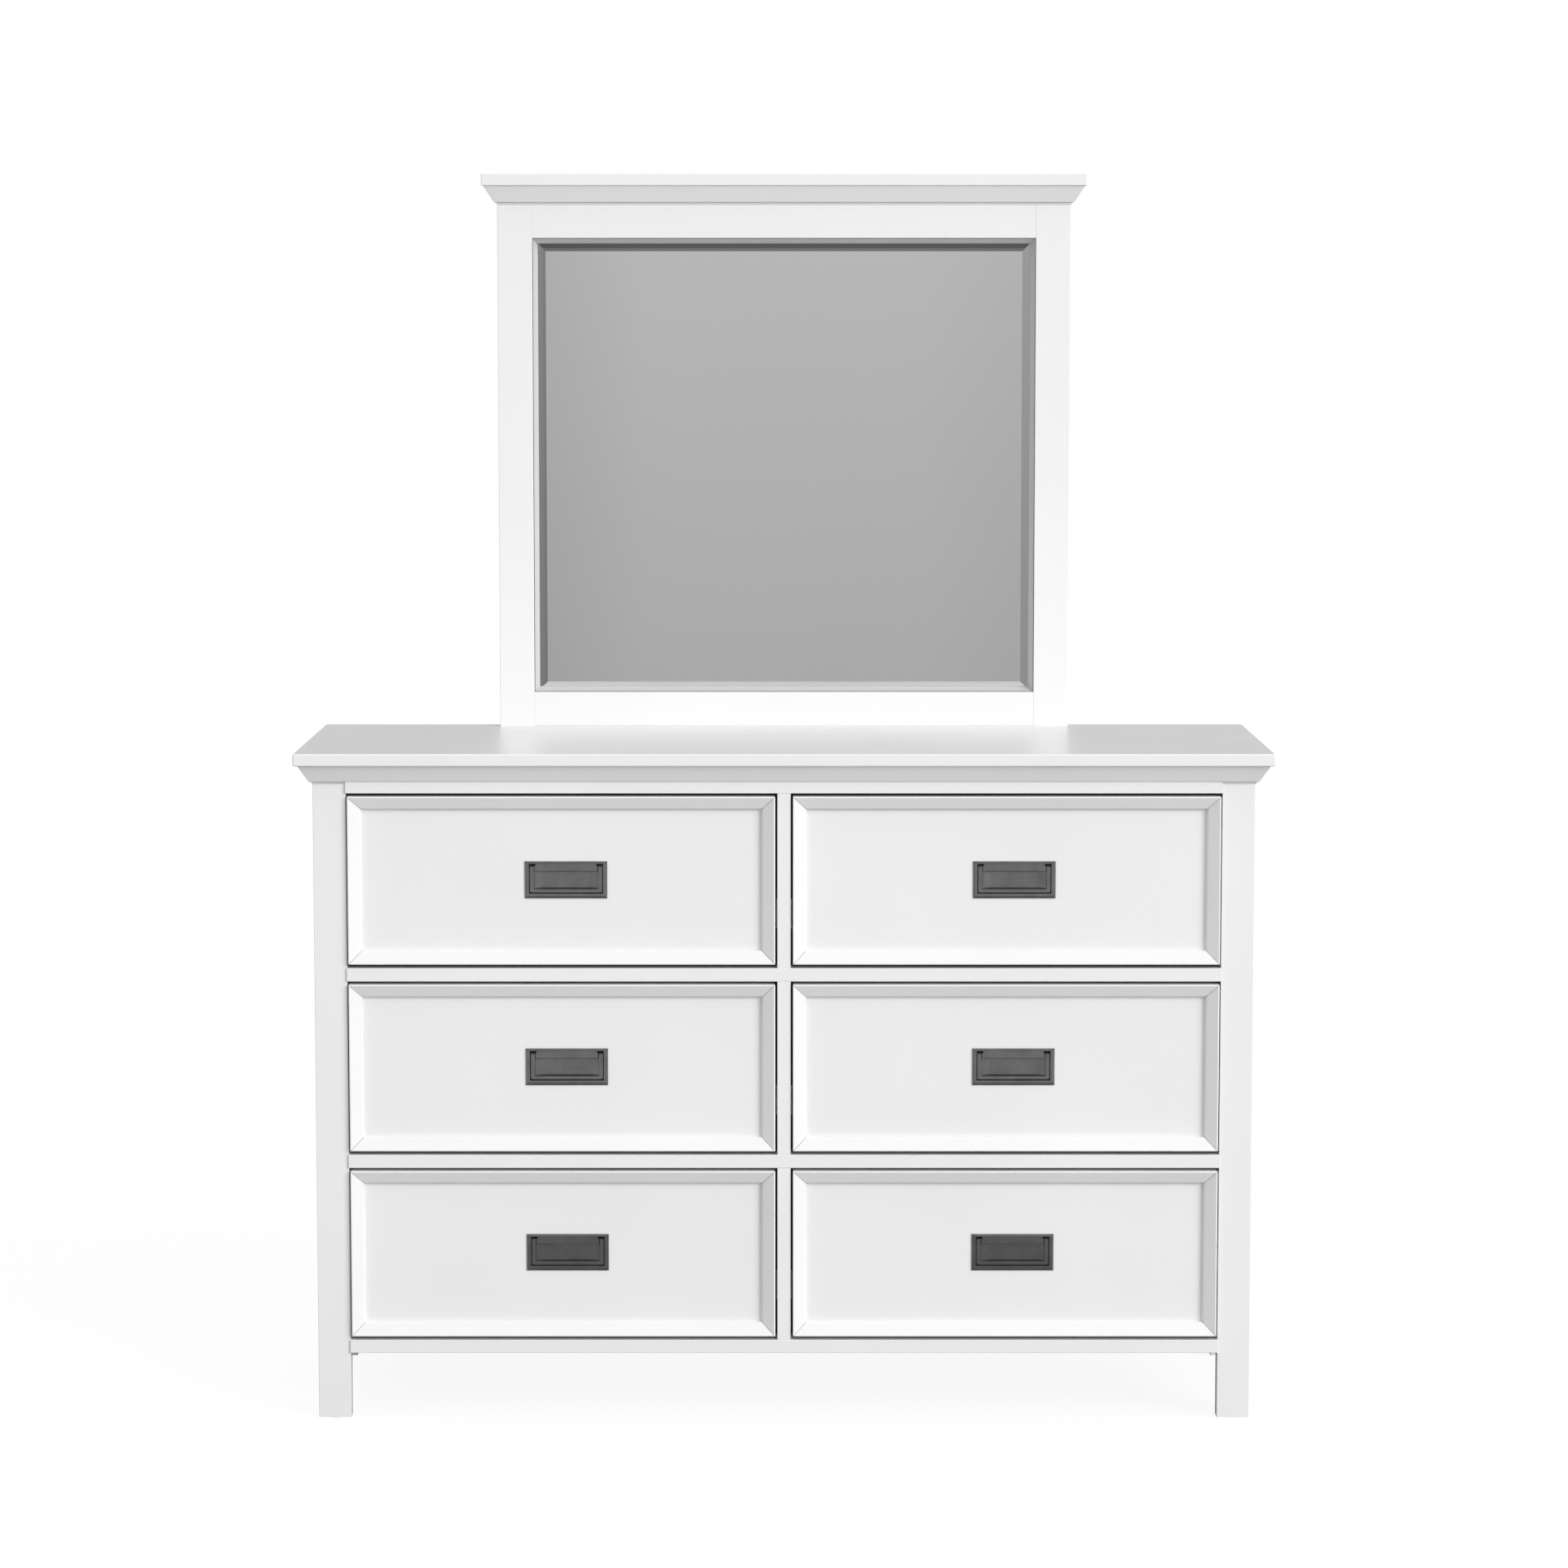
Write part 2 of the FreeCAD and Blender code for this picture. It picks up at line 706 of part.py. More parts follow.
def pull_plate(side, row):
    """Bevelled plate with the bail's recess and slots, the finger dish, bosses and pin holes."""
    x, z = pull_centre(side, row)
    half = plate_width / 2
    rise = plate_height / 2
    y_bevel = y_plate + plate_bevel_height
    flange = block(x - half, x + half, y_bevel, y_panel, z - rise, z + rise)
    crown = tapered(x, z, half, -rise, rise, y_bevel, y_plate,
                    plate_bevel_width, plate_bevel_width)
    pan = block(x - pan_half, x + pan_half, y_panel, y_pan_back,
                z + recess_bottom - plate_wall, z + recess_top + plate_wall)
    shell = tapered(x, z, dish_half + plate_wall, dish_bottom - plate_wall,
                    header_bottom + plate_wall, y_bail_floor,
                    y_bail_floor + dish_depth + plate_wall, dish_end_taper, dish_long_taper)
    bosses = [Part.makeCylinder(pull_boss_diameter / 2, y_box - y_panel,
                                Vector(bx, y_panel, bz), Vector(0, 1, 0))
              for bx, bz in pull_screw_places(side, row)]
    z_slot = z + recess_top - bail_top_gap
    slots = []
    sleeves = []
    for x0 in (x - recess_half, x + header_half):
        x1 = x0 + recess_half - header_half
        slots.append(block(x0, x1, y_bail_floor, y_slot, z_slot, z + recess_top))
        sleeves.append(block(x0 - plate_wall, x1 + plate_wall, y_bail_floor,
                             y_slot + plate_wall, z_slot - plate_wall,
                             z + recess_top + plate_wall))
    plate = flange.fuse([crown, pan, shell] + bosses + sleeves)

    recess = block(x - recess_half, x + recess_half, y_plate, y_bail_floor,
                   z + recess_bottom, z + recess_top)
    header = block(x - header_half, x + header_half, y_plate, y_bail_floor,
                   z + header_bottom, z + recess_top)
    dish = tapered(x, z, dish_half, dish_bottom, header_bottom,
                   y_bail_floor, y_bail_floor + dish_depth, dish_end_taper, dish_long_taper)
    plate = cut_all(plate, [recess.cut(header), dish] + slots + pull_screw_holes(side, row))
    hole_depth = bail_inner_gap + bail_pin_length + bail_pin_end_gap
    start = header_half + bail_inner_gap
    for end in (-1, 1):
        hole = Part.makeCylinder(bail_pin_diameter / 2 + bail_pin_clearance, hole_depth,
                                 Vector(x + end * start, y_bail_axis, z + bail_axis),
                                 Vector(-end, 0, 0))
        plate = plate.cut(hole)
    return [plate.removeSplitter()]


def bail(side, row):
    """U-shaped handle with round upper ends and two inward pins."""
    x, z = pull_centre(side, row)
    half = half_bail
    y0 = y_plate + bail_front_setback
    y1 = y0 + bail_thickness
    z_axis = z + bail_axis
    z_bottom = z + bail_bottom
    outer = block(x - half, x + half, y0, y1, z_bottom, z_axis)
    inner = block(x - half + bail_leg_width, x + half - bail_leg_width, y0, y1,
                  z_bottom + bail_bar_height, z_axis)
    body = outer.cut(inner)
    corners = [edge for edge in body.Edges
               if edge.BoundBox.XLength < 1e-6 and edge.BoundBox.ZLength < 1e-6
               and edge.CenterOfMass.z < z_axis - bail_thickness]
    body = body.makeFillet(bail_corner_radius, corners)
    rim = [edge for edge in body.Edges
           if edge.BoundBox.YLength < 1e-6 and abs(edge.CenterOfMass.y - y0) < 1e-6
           and edge.CenterOfMass.z < z_axis - 1e-6]
    body = body.makeFillet(bail_edge_radius, rim)
    pieces = []
    for end in (-1, 1):
        leg_inner = x + end * (half - bail_leg_width)
        leg_start = min(leg_inner, x + end * half)
        pieces.append(Part.makeCylinder(bail_thickness / 2, bail_leg_width,
                                        Vector(leg_start, y_bail_axis, z_axis),
                                        Vector(1, 0, 0)))
        pieces.append(Part.makeCylinder(bail_pin_diameter / 2,
                                        bail_pin_length + bail_leg_width / 2,
                                        Vector(leg_inner + end * bail_leg_width / 2,
                                               y_bail_axis, z_axis),
                                        Vector(-end, 0, 0)))
    return [body.fuse(pieces).removeSplitter()]


# ------------------------------------------------------------------ mirror
def mirror_stiles():
    """Full-height stiles that stand on the top board."""
    stile = upright(half_glass_opening, half_mirror, y_mirror, y_back, top_height, mirror_top)
    return pair(cut_all(stile, support_screw_holes()))


def mirror_rails():
    """Upper and lower rails between the mirror's stiles."""
    return [crossbar(-half_glass_opening, half_glass_opening, y_mirror, y_back, low, high)
            for low, high in ((glass_opening_top, mirror_top),
                              (top_height, glass_opening_bottom))]


def sticking_section(place):
    """Section of the bead that holds the glass: a steep, slightly hollow slope, flat behind."""
    y_outer = y_mirror + sticking_setback
    y_toe = y_sticking_back - sticking_toe
    drop = y_toe - y_outer
    slant = math.hypot(sticking_width, drop)
    outer_front = place(0, y_outer)
    hollow = place(sticking_width / 2 - sticking_hollow * drop / slant,
                   y_outer + drop / 2 + sticking_hollow * sticking_width / slant)
    toe = place(sticking_width, y_toe)
    inner_back = place(sticking_width, y_sticking_back)
    outer_back = place(0, y_sticking_back)
    return face_of([arc(outer_front, hollow, toe), line(toe, inner_back),
                    line(inner_back, outer_back), line(outer_back, outer_front)])


def glass_opening_centre():
    """Height of the centre of the mirror's opening."""
    return (glass_opening_bottom + glass_opening_top) / 2


def mirror_sticking():
    """Four mitred beads inside the frame's opening."""
    return mitred_frame(0, glass_opening_centre(), half_glass_opening,
                        (glass_opening_top - glass_opening_bottom) / 2,
                        sticking_width, sticking_section)


def mirror_glass():
    """Silvered plate with a wide bevel round its face."""
    half = half_glass_opening - glass_clearance
    rise = (glass_opening_top - glass_opening_bottom) / 2 - glass_clearance
    y_edge = y_glass + glass_bevel_drop
    z = glass_opening_centre()
    plate = block(-half, half, y_edge, y_glass_back, z - rise, z + rise)
    crown = tapered(0, z, half, -rise, rise, y_edge, y_glass, bevel_run, bevel_run)
    return [plate.fuse(crown).removeSplitter()]


def mirror_backing():
    """Board behind the glass, flush with the back of the frame."""
    half = half_glass_opening - glass_clearance
    return [block(-half, half, y_glass_back, y_back, glass_opening_bottom + glass_clearance,
                  glass_opening_top - glass_clearance)]


def mirror_moulding():
    """Cornice round the head of the mirror's frame."""
    return cornice(half_mirror, y_mirror, y_back, mirror_top - moulding_height)


def mirror_cap():
    """Board on top of the mirror's frame."""
    half = half_mirror + cap_overhang
    cap = block(-half, half, y_mirror - cap_overhang, y_back, mirror_top,
                mirror_top + cap_thickness)
    return [cap.makeFillet(cap_edge_radius, cap.Edges)]


def support_centre():
    """X of the centre line of the right-hand support."""
    return half_mirror - mirror_stile_width / 2


def support_screw_solids(radius_gap):
    """Countersunk screws, or their holes where radius_gap is above zero."""
    y_head = y_back + support_thickness - support_screw_sink
    screws = []
    for height in support_screw_heights:
        z = top_height + height
        for x in (support_centre(), -support_centre()):
            shank = Part.makeCylinder(support_screw_diameter / 2 + radius_gap,
                                      support_screw_length, Vector(x, y_head, z),
                                      Vector(0, -1, 0))
            head = Part.makeCone(support_screw_head_diameter / 2 + radius_gap,
                                 support_screw_diameter / 2 + radius_gap,
                                 support_screw_head_depth, Vector(x, y_head, z),
                                 Vector(0, -1, 0))
            screws.append(shank.fuse(head))
    return screws


def support_screw_holes():
    """Holes of the support screws, open at the face of the support."""
    y_face = y_back + support_thickness
    mouths = []
    for height in support_screw_heights:
        for x in (support_centre(), -support_centre()):
            mouths.append(Part.makeCylinder(support_screw_head_diameter / 2 + screw_clearance,
                                            support_screw_sink,
                                            Vector(x, y_face, top_height + height),
                                            Vector(0, -1, 0)))
    return support_screw_solids(screw_clearance) + mouths


def mirror_supports():
    """Battens screwed to the back of the case and to the mirror's stiles."""
    x = support_centre()
    batten = upright(x - support_width / 2, x + support_width / 2, y_back,
                     y_back + support_thickness, top_height - support_bottom_below_board,
                     top_height + support_top_above_board)
    return pair(cut_all(batten, support_screw_holes()))


def drilled_rear_rails():
    """Rear rails with the pilot holes of the support screws."""
    return [cut_all(rail, support_screw_holes()) for rail in rear_rails()]


# ------------------------------------------------------------------ export
def save(node, solids):
    """Write one node's solids to its STEP file."""
    shape = solids[0] if len(solids) == 1 else Part.makeCompound(solids)
    shape.exportStep("parts/" + node + ".step")


os.makedirs("parts", exist_ok=True)

case_nodes = {
    "top_board": top_board(),
    "top_moulding": top_moulding(),
    "front_stiles": front_stiles(),
    "side_stiles": side_stiles(),
    "side_rails": side_rails(),
    "side_panels": side_panels(),
    "front_rails": front_rails(),
    "centre_stiles": centre_stiles(),
    "centre_partition": centre_partition(),
    "rear_rails": drilled_rear_rails(),
    "back_and_bottom_panels": back_panel() + bottom_panels(),
    "corner_blocks": corner_blocks(),
    "foot_glides": foot_glides(),
    "runner_battens": runner_battens(),
    "runner_channels": runner_channels(),
    "mirror_stiles": mirror_stiles(),
    "mirror_rails": mirror_rails(),
    "mirror_sticking": mirror_sticking(),
    "mirror_glass": mirror_glass(),
    "mirror_backing": mirror_backing(),
    "mirror_moulding": mirror_moulding(),
    "mirror_cap": mirror_cap(),
    "mirror_supports": mirror_supports(),
    "support_screws": support_screw_solids(0.0),
}
for node, solids in case_nodes.items():
    save(node, solids)

for row, row_name in enumerate(rows):
    for column_name, side in columns:
        place = row_name + "_" + column_name
        save("drawer_panel_" + place, drawer_panel(side, row))
        save("drawer_moulding_" + place, drawer_moulding(side, row))
        save("drawer_box_" + place, drawer_box(side, row))
        save("drawer_hardware_" + place, drawer_members(side, row) + pull_screws(side, row))
        save("pull_plate_" + place, pull_plate(side, row))
        save("bail_" + place, bail(side, row))
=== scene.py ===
import json
import math

import bmesh
import bpy
import numpy as np
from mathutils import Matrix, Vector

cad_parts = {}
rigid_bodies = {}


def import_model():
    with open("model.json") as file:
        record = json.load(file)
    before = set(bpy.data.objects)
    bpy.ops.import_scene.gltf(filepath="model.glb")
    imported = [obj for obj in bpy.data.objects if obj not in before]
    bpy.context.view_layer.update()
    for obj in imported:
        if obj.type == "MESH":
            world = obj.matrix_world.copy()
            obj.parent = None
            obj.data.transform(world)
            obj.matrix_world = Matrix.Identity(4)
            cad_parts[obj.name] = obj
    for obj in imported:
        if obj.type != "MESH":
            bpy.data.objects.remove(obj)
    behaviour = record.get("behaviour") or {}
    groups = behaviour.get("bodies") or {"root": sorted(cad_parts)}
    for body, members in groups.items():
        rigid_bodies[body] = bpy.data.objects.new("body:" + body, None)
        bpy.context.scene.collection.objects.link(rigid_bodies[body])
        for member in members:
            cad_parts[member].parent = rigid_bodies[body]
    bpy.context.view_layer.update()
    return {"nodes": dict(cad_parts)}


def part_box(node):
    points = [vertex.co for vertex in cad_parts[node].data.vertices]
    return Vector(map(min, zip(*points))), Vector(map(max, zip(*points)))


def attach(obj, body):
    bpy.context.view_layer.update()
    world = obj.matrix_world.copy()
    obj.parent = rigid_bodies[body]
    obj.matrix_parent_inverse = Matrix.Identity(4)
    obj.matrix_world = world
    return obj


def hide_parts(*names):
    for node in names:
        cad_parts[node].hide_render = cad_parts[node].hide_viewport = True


for leftover in list(bpy.data.objects):
    bpy.data.objects.remove(leftover)
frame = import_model()
nodes = frame["nodes"]

# ------------------------------------------------------------------ legs, side frames and rails
# Poplar boards, planed, glued up and sanded flat, then sprayed with satin white lacquer.
# The lacquer follows the grain very faintly, dries with a fine orange peel and is a little
# glossier where the spray lay thicker.
lacquer_light = (0.875, 0.875, 0.872, 1.0)
lacquer_dark = (0.855, 0.855, 0.852, 1.0)
lacquer_fibre = 0.0014            # spacing of the grain that shows through, metres
lacquer_fibre_run = 0.11          # its length along the board
lacquer_fibre_relief = 0.000012
lacquer_peel = 0.0024             # width of a dimple of the orange peel
lacquer_peel_relief = 0.00002
lacquer_cloud = 0.24              # width of a lighter or darker area
lacquer_streak = 0.012            # width and length of a glossier streak
lacquer_streak_run = 0.16
lacquer_roughness = (0.30, 0.38)
noise_low, noise_high = 0.3, 0.7  # between these lies nearly all of a noise


def add_node(tree, kind, inputs=(), **settings):
    """Add a shader node; inputs pairs a socket with a value or with another node's output."""
    made = tree.nodes.new("ShaderNode" + kind)
    for name, value in settings.items():
        setattr(made, name, value)
    for socket, value in inputs:
        if isinstance(value, bpy.types.NodeSocket):
            tree.links.new(value, made.inputs[socket])
        else:
            made.inputs[socket].default_value = value
    return made


def new_finish(name, metallic=0.0):
    """Material with a Principled shader; returns the material, its node tree and the shader."""
    material = bpy.data.materials.new(name)
    material.use_nodes = True
    shader = material.node_tree.nodes["Principled BSDF"]
    shader.inputs["Metallic"].default_value = metallic
    return material, material.node_tree, shader


def pattern(tree, place, size, detail=2.0, distortion=0.0):
    """Noise whose blotches measure size along X, Y and Z, in metres."""
    scaled = add_node(tree, "Mapping",
                      [("Vector", place), ("Scale", [1.0 / length for length in size])])
    noise = add_node(tree, "TexNoise",
                     [("Vector", scaled.outputs["Vector"]), ("Scale", 1.0),
                      ("Detail", detail), ("Distortion", distortion)])
    return noise.outputs["Fac"]


def spread(tree, value, low, high):
    """Stretch the middle of a noise over low to high."""
    mapped = add_node(tree, "MapRange", [("Value", value), ("From Min", noise_low),
                                         ("From Max", noise_high), ("To Min", low),
                                         ("To Max", high)])
    return mapped.outputs["Result"]


def tint(tree, value, dark, light, start=noise_low, end=noise_high):
    """Colour that runs from dark to light while the value runs from start to end."""
    ramp = add_node(tree, "ValToRGB", [("Fac", value)])
    first, last = ramp.color_ramp.elements
    first.position, first.color = start, dark
    last.position, last.color = end, light
    return ramp.outputs["Color"]


def relief(tree, height, depth, under=None):
    """Surface normal of a height pattern whose full swing is depth metres."""
    bump = add_node(tree, "Bump", [("Height", height), ("Distance", depth),
                                   ("Strength", 1.0)])
    if under is not None:
        tree.links.new(under, bump.inputs["Normal"])
    return bump.outputs["Normal"]


def fibre_size(along, across, run):
    """Blotch size of grain that runs along the axis x, y or z."""
    return [run if axis == along else across for axis in "xyz"]


def by_object(tree):
    """Object coordinates."""
    return add_node(tree, "TexCoord").outputs["Object"]


def coat(tree, shader, colour, roughness, normal=None):
    """Join a finish's colour, roughness and relief to its shader."""
    tree.links.new(colour, shader.inputs["Base Color"])
    tree.links.new(roughness, shader.inputs["Roughness"])
    if normal is not None:
        tree.links.new(normal, shader.inputs["Normal"])


def lacquer(name, along, dark=lacquer_dark, light=lacquer_light):
    """Satin white lacquer over grain that runs along the axis x, y or z."""
    material, tree, shader = new_finish(name)
    place = by_object(tree)
    cloud = pattern(tree, place, (lacquer_cloud,) * 3)
    streak = pattern(tree, place, fibre_size(along, lacquer_streak, lacquer_streak_run))
    fibre = pattern(tree, place, fibre_size(along, lacquer_fibre, lacquer_fibre_run),
                    detail=3.0)
    peel = pattern(tree, place, (lacquer_peel,) * 3, detail=1.0)
    grained = relief(tree, fibre, lacquer_fibre_relief)
    coat(tree, shader, tint(tree, cloud, dark, light), spread(tree, streak, *lacquer_roughness),
         relief(tree, peel, lacquer_peel_relief, grained))
    return material


def dress(names, material):
    """Give CAD nodes their finish."""
    for name in names:
        nodes[name].material_slots[0].material = material


lacquer_upright = lacquer("white_lacquer_upright", "z")
lacquer_level = lacquer("white_lacquer_level", "x")
lacquer_deep = lacquer("white_lacquer_deep", "y")
dress(["front_stiles", "side_stiles", "side_panels", "centre_stiles"], lacquer_upright)
dress(["front_rails"], lacquer_level)
dress(["side_rails"], lacquer_deep)

half_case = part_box("front_stiles")[1].x
y_stile_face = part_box("front_stiles")[0].y

# ------------------------------------------------------------------ inside of the case
# Partition, rear rails, glue blocks and runner battens are planed poplar, left unpainted and
# glued in.  The back and the two dust bottoms are pressed board with a smooth face.
poplar_light = (0.72, 0.60, 0.44, 1.0)
poplar_dark = (0.58, 0.46, 0.31, 1.0)
ring_width, ring_run, ring_warp = 0.011, 0.42, 0.7
wood_fibre, wood_fibre_run, wood_fibre_relief = 0.0007, 0.045, 0.00005
pore_width, pore_run = 0.0005, 0.006
pore_edge, pore_heart, pore_shade = 0.62, 0.72, 0.72
grain_low, grain_high = 0.36, 0.62
wood_roughness, wood_roughness_swing = 0.55, 0.06
board_light = (0.46, 0.34, 0.225, 1.0)
board_dark = (0.36, 0.25, 0.16, 1.0)
board_felt, board_blotch = 0.004, 0.12
board_low, board_high = 0.25, 0.75
board_roughness = (0.38, 0.55)
board_relief = 0.00006


def calculate(tree, operation, *values):
    """One step of arithmetic."""
    made = add_node(tree, "Math", list(enumerate(values)), operation=operation)
    return made.outputs[0]


def halfway(tree, first, second):
    """Half the sum of two noises."""
    return calculate(tree, "MULTIPLY", calculate(tree, "ADD", first, second), 0.5)


def wood(name, place_of, along, dark, light, roughness=wood_roughness):
    """Sawn and planed wood: broad rings, fine fibres and short dark pores along one axis."""
    material, tree, shader = new_finish(name)
    place = place_of(tree)
    rings = pattern(tree, place, fibre_size(along, ring_width, ring_run), distortion=ring_warp)
    fibre = pattern(tree, place, fibre_size(along, wood_fibre, wood_fibre_run), detail=3.0)
    pores = pattern(tree, place, fibre_size(along, pore_width, pore_run), detail=1.0)
    colour = tint(tree, halfway(tree, rings, fibre), dark, light, grain_low, grain_high)
    pore_mask = add_node(tree, "MapRange", [("Value", pores), ("From Min", pore_edge),
                                            ("From Max", pore_heart), ("To Min", 1.0),
                                            ("To Max", pore_shade)])
    pored = add_node(tree, "VectorMath", [(0, colour), ("Scale", pore_mask.outputs["Result"])],
                     operation="SCALE")
    rough = spread(tree, rings, roughness - wood_roughness_swing,
                   roughness + wood_roughness_swing)
    coat(tree, shader, pored.outputs[0], rough, relief(tree, fibre, wood_fibre_relief))
    return material


poplar_deep = wood("poplar_deep", by_object, "y", poplar_dark, poplar_light)
poplar_level = wood("poplar_level", by_object, "x", poplar_dark, poplar_light)
dress(["centre_partition", "runner_battens"], poplar_deep)
dress(["rear_rails", "corner_blocks"], poplar_level)

pressed_board, tree, shader = new_finish("pressed_board")
place = by_object(tree)
felted = pattern(tree, place, (board_felt,) * 3, detail=4.0, distortion=1.2)
blotch = pattern(tree, place, (board_blotch,) * 3)
coat(tree, shader,
     tint(tree, halfway(tree, felted, blotch), board_dark, board_light, board_low, board_high),
     spread(tree, felted, *board_roughness), relief(tree, felted, board_relief))
dress(["back_and_bottom_panels", "mirror_backing"], pressed_board)

# ------------------------------------------------------------------ foot glides
# Moulded nylon discs, grey and slightly matt.  One is nailed under each of the four legs, so
# that the dresser slides without marking the floor.
nylon_light = (0.65, 0.65, 0.63, 1.0)
nylon_dark = (0.57, 0.57, 0.55, 1.0)
nylon_frost, nylon_relief = 0.0012, 0.00004
nylon_roughness = (0.42, 0.55)

nylon, tree, shader = new_finish("moulded_nylon")
place = by_object(tree)
frosted = pattern(tree, place, (nylon_frost,) * 3)
coat(tree, shader, tint(tree, frosted, nylon_dark, nylon_light),
     spread(tree, frosted, *nylon_roughness), relief(tree, frosted, nylon_relief))
dress(["foot_glides"], nylon)

# ------------------------------------------------------------------ runners
# Side-mounted drawer runners of cold-rolled steel, zinc plated: a channel on the case and a
# smaller one on the drawer.  The plating has a faint bluish spangle and rolling lines.
zinc_light = (0.72, 0.72, 0.70, 1.0)
zinc_blue = (0.60, 0.62, 0.66, 1.0)
spangle_size = (0.02, 0.03, 0.02)
rolling_size = (0.0006, 0.12, 0.0006)
rolling_relief = 0.00001
zinc_roughness = (0.24, 0.40)

zinc, tree, shader = new_finish("zinc_plated_steel", 1.0)
place = by_object(tree)
spangle = pattern(tree, place, spangle_size, detail=3.0, distortion=0.4)
rolling = pattern(tree, place, rolling_size)
coat(tree, shader, tint(tree, spangle, zinc_blue, zinc_light),
     spread(tree, rolling, *zinc_roughness), relief(tree, rolling, rolling_relief))
drawers = [row + "_" + column for row in ("bottom", "middle", "top")
           for column in ("left", "right")]
dress(["runner_channels", "support_screws"], zinc)
dress(["drawer_hardware_" + drawer for drawer in drawers], zinc)

# ------------------------------------------------------------------ top board
# One glued-up board, planed to thickness, with every edge rounded over by hand with
# sandpaper before it is lacquered.
top_rounding = 0.002
rounding_steps = 5
weld_distance = 1e-6
soft_crease = 40.0                # degrees; sharper edges stay crisp
board_shift = 0.37                # moves the grain from one board to the next


def skin(rows, closed=False):
    """Quads between neighbouring rings of points; rows has the shape (stations, ring, 3).

    closed joins the last ring to the first.  Otherwise one face fills each end ring.
    """
    stations, ring = rows.shape[:2]
    index = np.arange(stations * ring).reshape(stations, ring)
    following = np.roll(index, -1, axis=1)
    if closed:
        here, there = index, np.roll(index, -1, axis=0)
        here_next, there_next = following, np.roll(following, -1, axis=0)
    else:
        here, there = index[:-1], index[1:]
        here_next, there_next = following[:-1], following[1:]
    quads = np.stack([here, here_next, there_next, there], axis=-1).reshape(-1, 4)
    ends = [] if closed else [index[:1, ::-1], index[-1:]]
    return rows.reshape(-1, 3), [quads] + ends


def rounded_board(low, high, radius, steps=rounding_steps):
    """Board with all its edges rounded.

    Every direction n of a grid of longitude and latitude gives the point c + radius * n,
    where c is the corner of the inner box in the octant of n.
    """
    low, high = np.array(low), np.array(high)
    quarter = np.linspace(0.0, math.pi / 2, steps + 1)
    longitude = np.concatenate([quarter + number * math.pi / 2 for number in range(4)])
    latitude = np.concatenate([quarter - math.pi / 2, quarter])[:, None]
    side_x = np.repeat([1.0, -1.0, -1.0, 1.0], steps + 1) + 0 * latitude
    side_y = np.repeat([1.0, 1.0, -1.0, -1.0], steps + 1) + 0 * latitude
    side_z = np.repeat([-1.0, 1.0], steps + 1)[:, None] + 0 * longitude
    direction = np.stack([np.cos(latitude) * np.cos(longitude),
                          np.cos(latitude) * np.sin(longitude),
                          np.sin(latitude) + 0 * longitude], axis=-1)
    sides = np.stack([side_x, side_y, side_z], axis=-1)
    corner = (low + high) / 2 + sides * ((high - low) / 2 - radius)
    return skin(corner + radius * direction)


def make_piece(name, surfaces, material, body, replaced, grain=None,
               crease=soft_crease):
    """One mesh of closed surfaces, each welded by itself and turned outwards, on a body.

    grain names the axis along the fibres of each surface.  The attribute grain_place then
    holds the surface's points with that axis first, shifted from board to board.
    """
    vertices = np.concatenate([points for points, _ in surfaces])
    faces = []
    start = 0
    for points, polygons in surfaces:
        for group in polygons:
            faces += (group + start).tolist()
        start += len(points)
    mesh = bpy.data.meshes.new(name)
    mesh.from_pydata(vertices, [], faces)
    if grain is not None:
        along = []
        for number, (axis, (points, _)) in enumerate(zip(grain, surfaces)):
            order = {"x": [0, 1, 2], "y": [1, 2, 0], "z": [2, 0, 1]}[axis]
            along.append(points[:, order] + board_shift * number)
        layer = mesh.attributes.new("grain_place", "FLOAT_VECTOR", "POINT")
        layer.data.foreach_set("vector", np.concatenate(along).ravel())
    shape = bmesh.new()
    shape.from_mesh(mesh)
    shape.verts.ensure_lookup_table()
    ends = np.cumsum([len(points) for points, _ in surfaces]).tolist()
    groups = [shape.verts[start:end] for start, end in zip([0] + ends, ends)]
    for group in groups:
        bmesh.ops.remove_doubles(shape, verts=group, dist=weld_distance)
    bmesh.ops.recalc_face_normals(shape, faces=shape.faces)
    shape.to_mesh(mesh)
    shape.free()
    mesh.shade_smooth()
    mesh.set_sharp_from_angle(angle=math.radians(crease))
    mesh.materials.append(material)
    piece = bpy.data.objects.new(name, mesh)
    bpy.context.scene.collection.objects.link(piece)
    soft = piece.modifiers.new("flat_faces", "WEIGHTED_NORMAL")
    soft.keep_sharp = True
    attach(piece, body)
    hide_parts(*replaced)


make_piece("top_board_planed", [rounded_board(*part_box("top_board"), top_rounding)],
           lacquer_level, "root", ["top_board"])

# ------------------------------------------------------------------ cornice under the top
# Splayed wooden moulding, run on a spindle moulder: sill, deep quirk, rounded nose, straight
# slope and thin upper lip.  One front length, notched over the top rail, and two side lengths
# are mitred, glued and pinned, and a hairline stays open at each mitre.
cornice_low, cornice_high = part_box("top_moulding")
cornice_height = cornice_high.z - cornice_low.z
cornice_reach = cornice_high.x - half_case
cornice_toe = 0.0032              # out from the case, where the slope's line meets the foot
cornice_nose = 0.003              # rounding between the underside and the slope
cornice_quirk = 0.0022            # underside of the nose above the lower edge
cornice_sill = 0.0007             # height of the sill below the quirk
cornice_sill_reach = 0.002
cornice_upper_lip = 0.001
cornice_arris = 0.0003            # sanding of the sharp corners
cornice_lap = 0.0035              # height of the notch over the top rail
half_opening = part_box("front_rails")[1].x
arc_steps = 10
mitre_ease = 0.0004               # where the sanded arris beside a mitre ends
mitre_groove = 0.0009             # depth of the open line at a mitre
mitre_seam = 0.00001


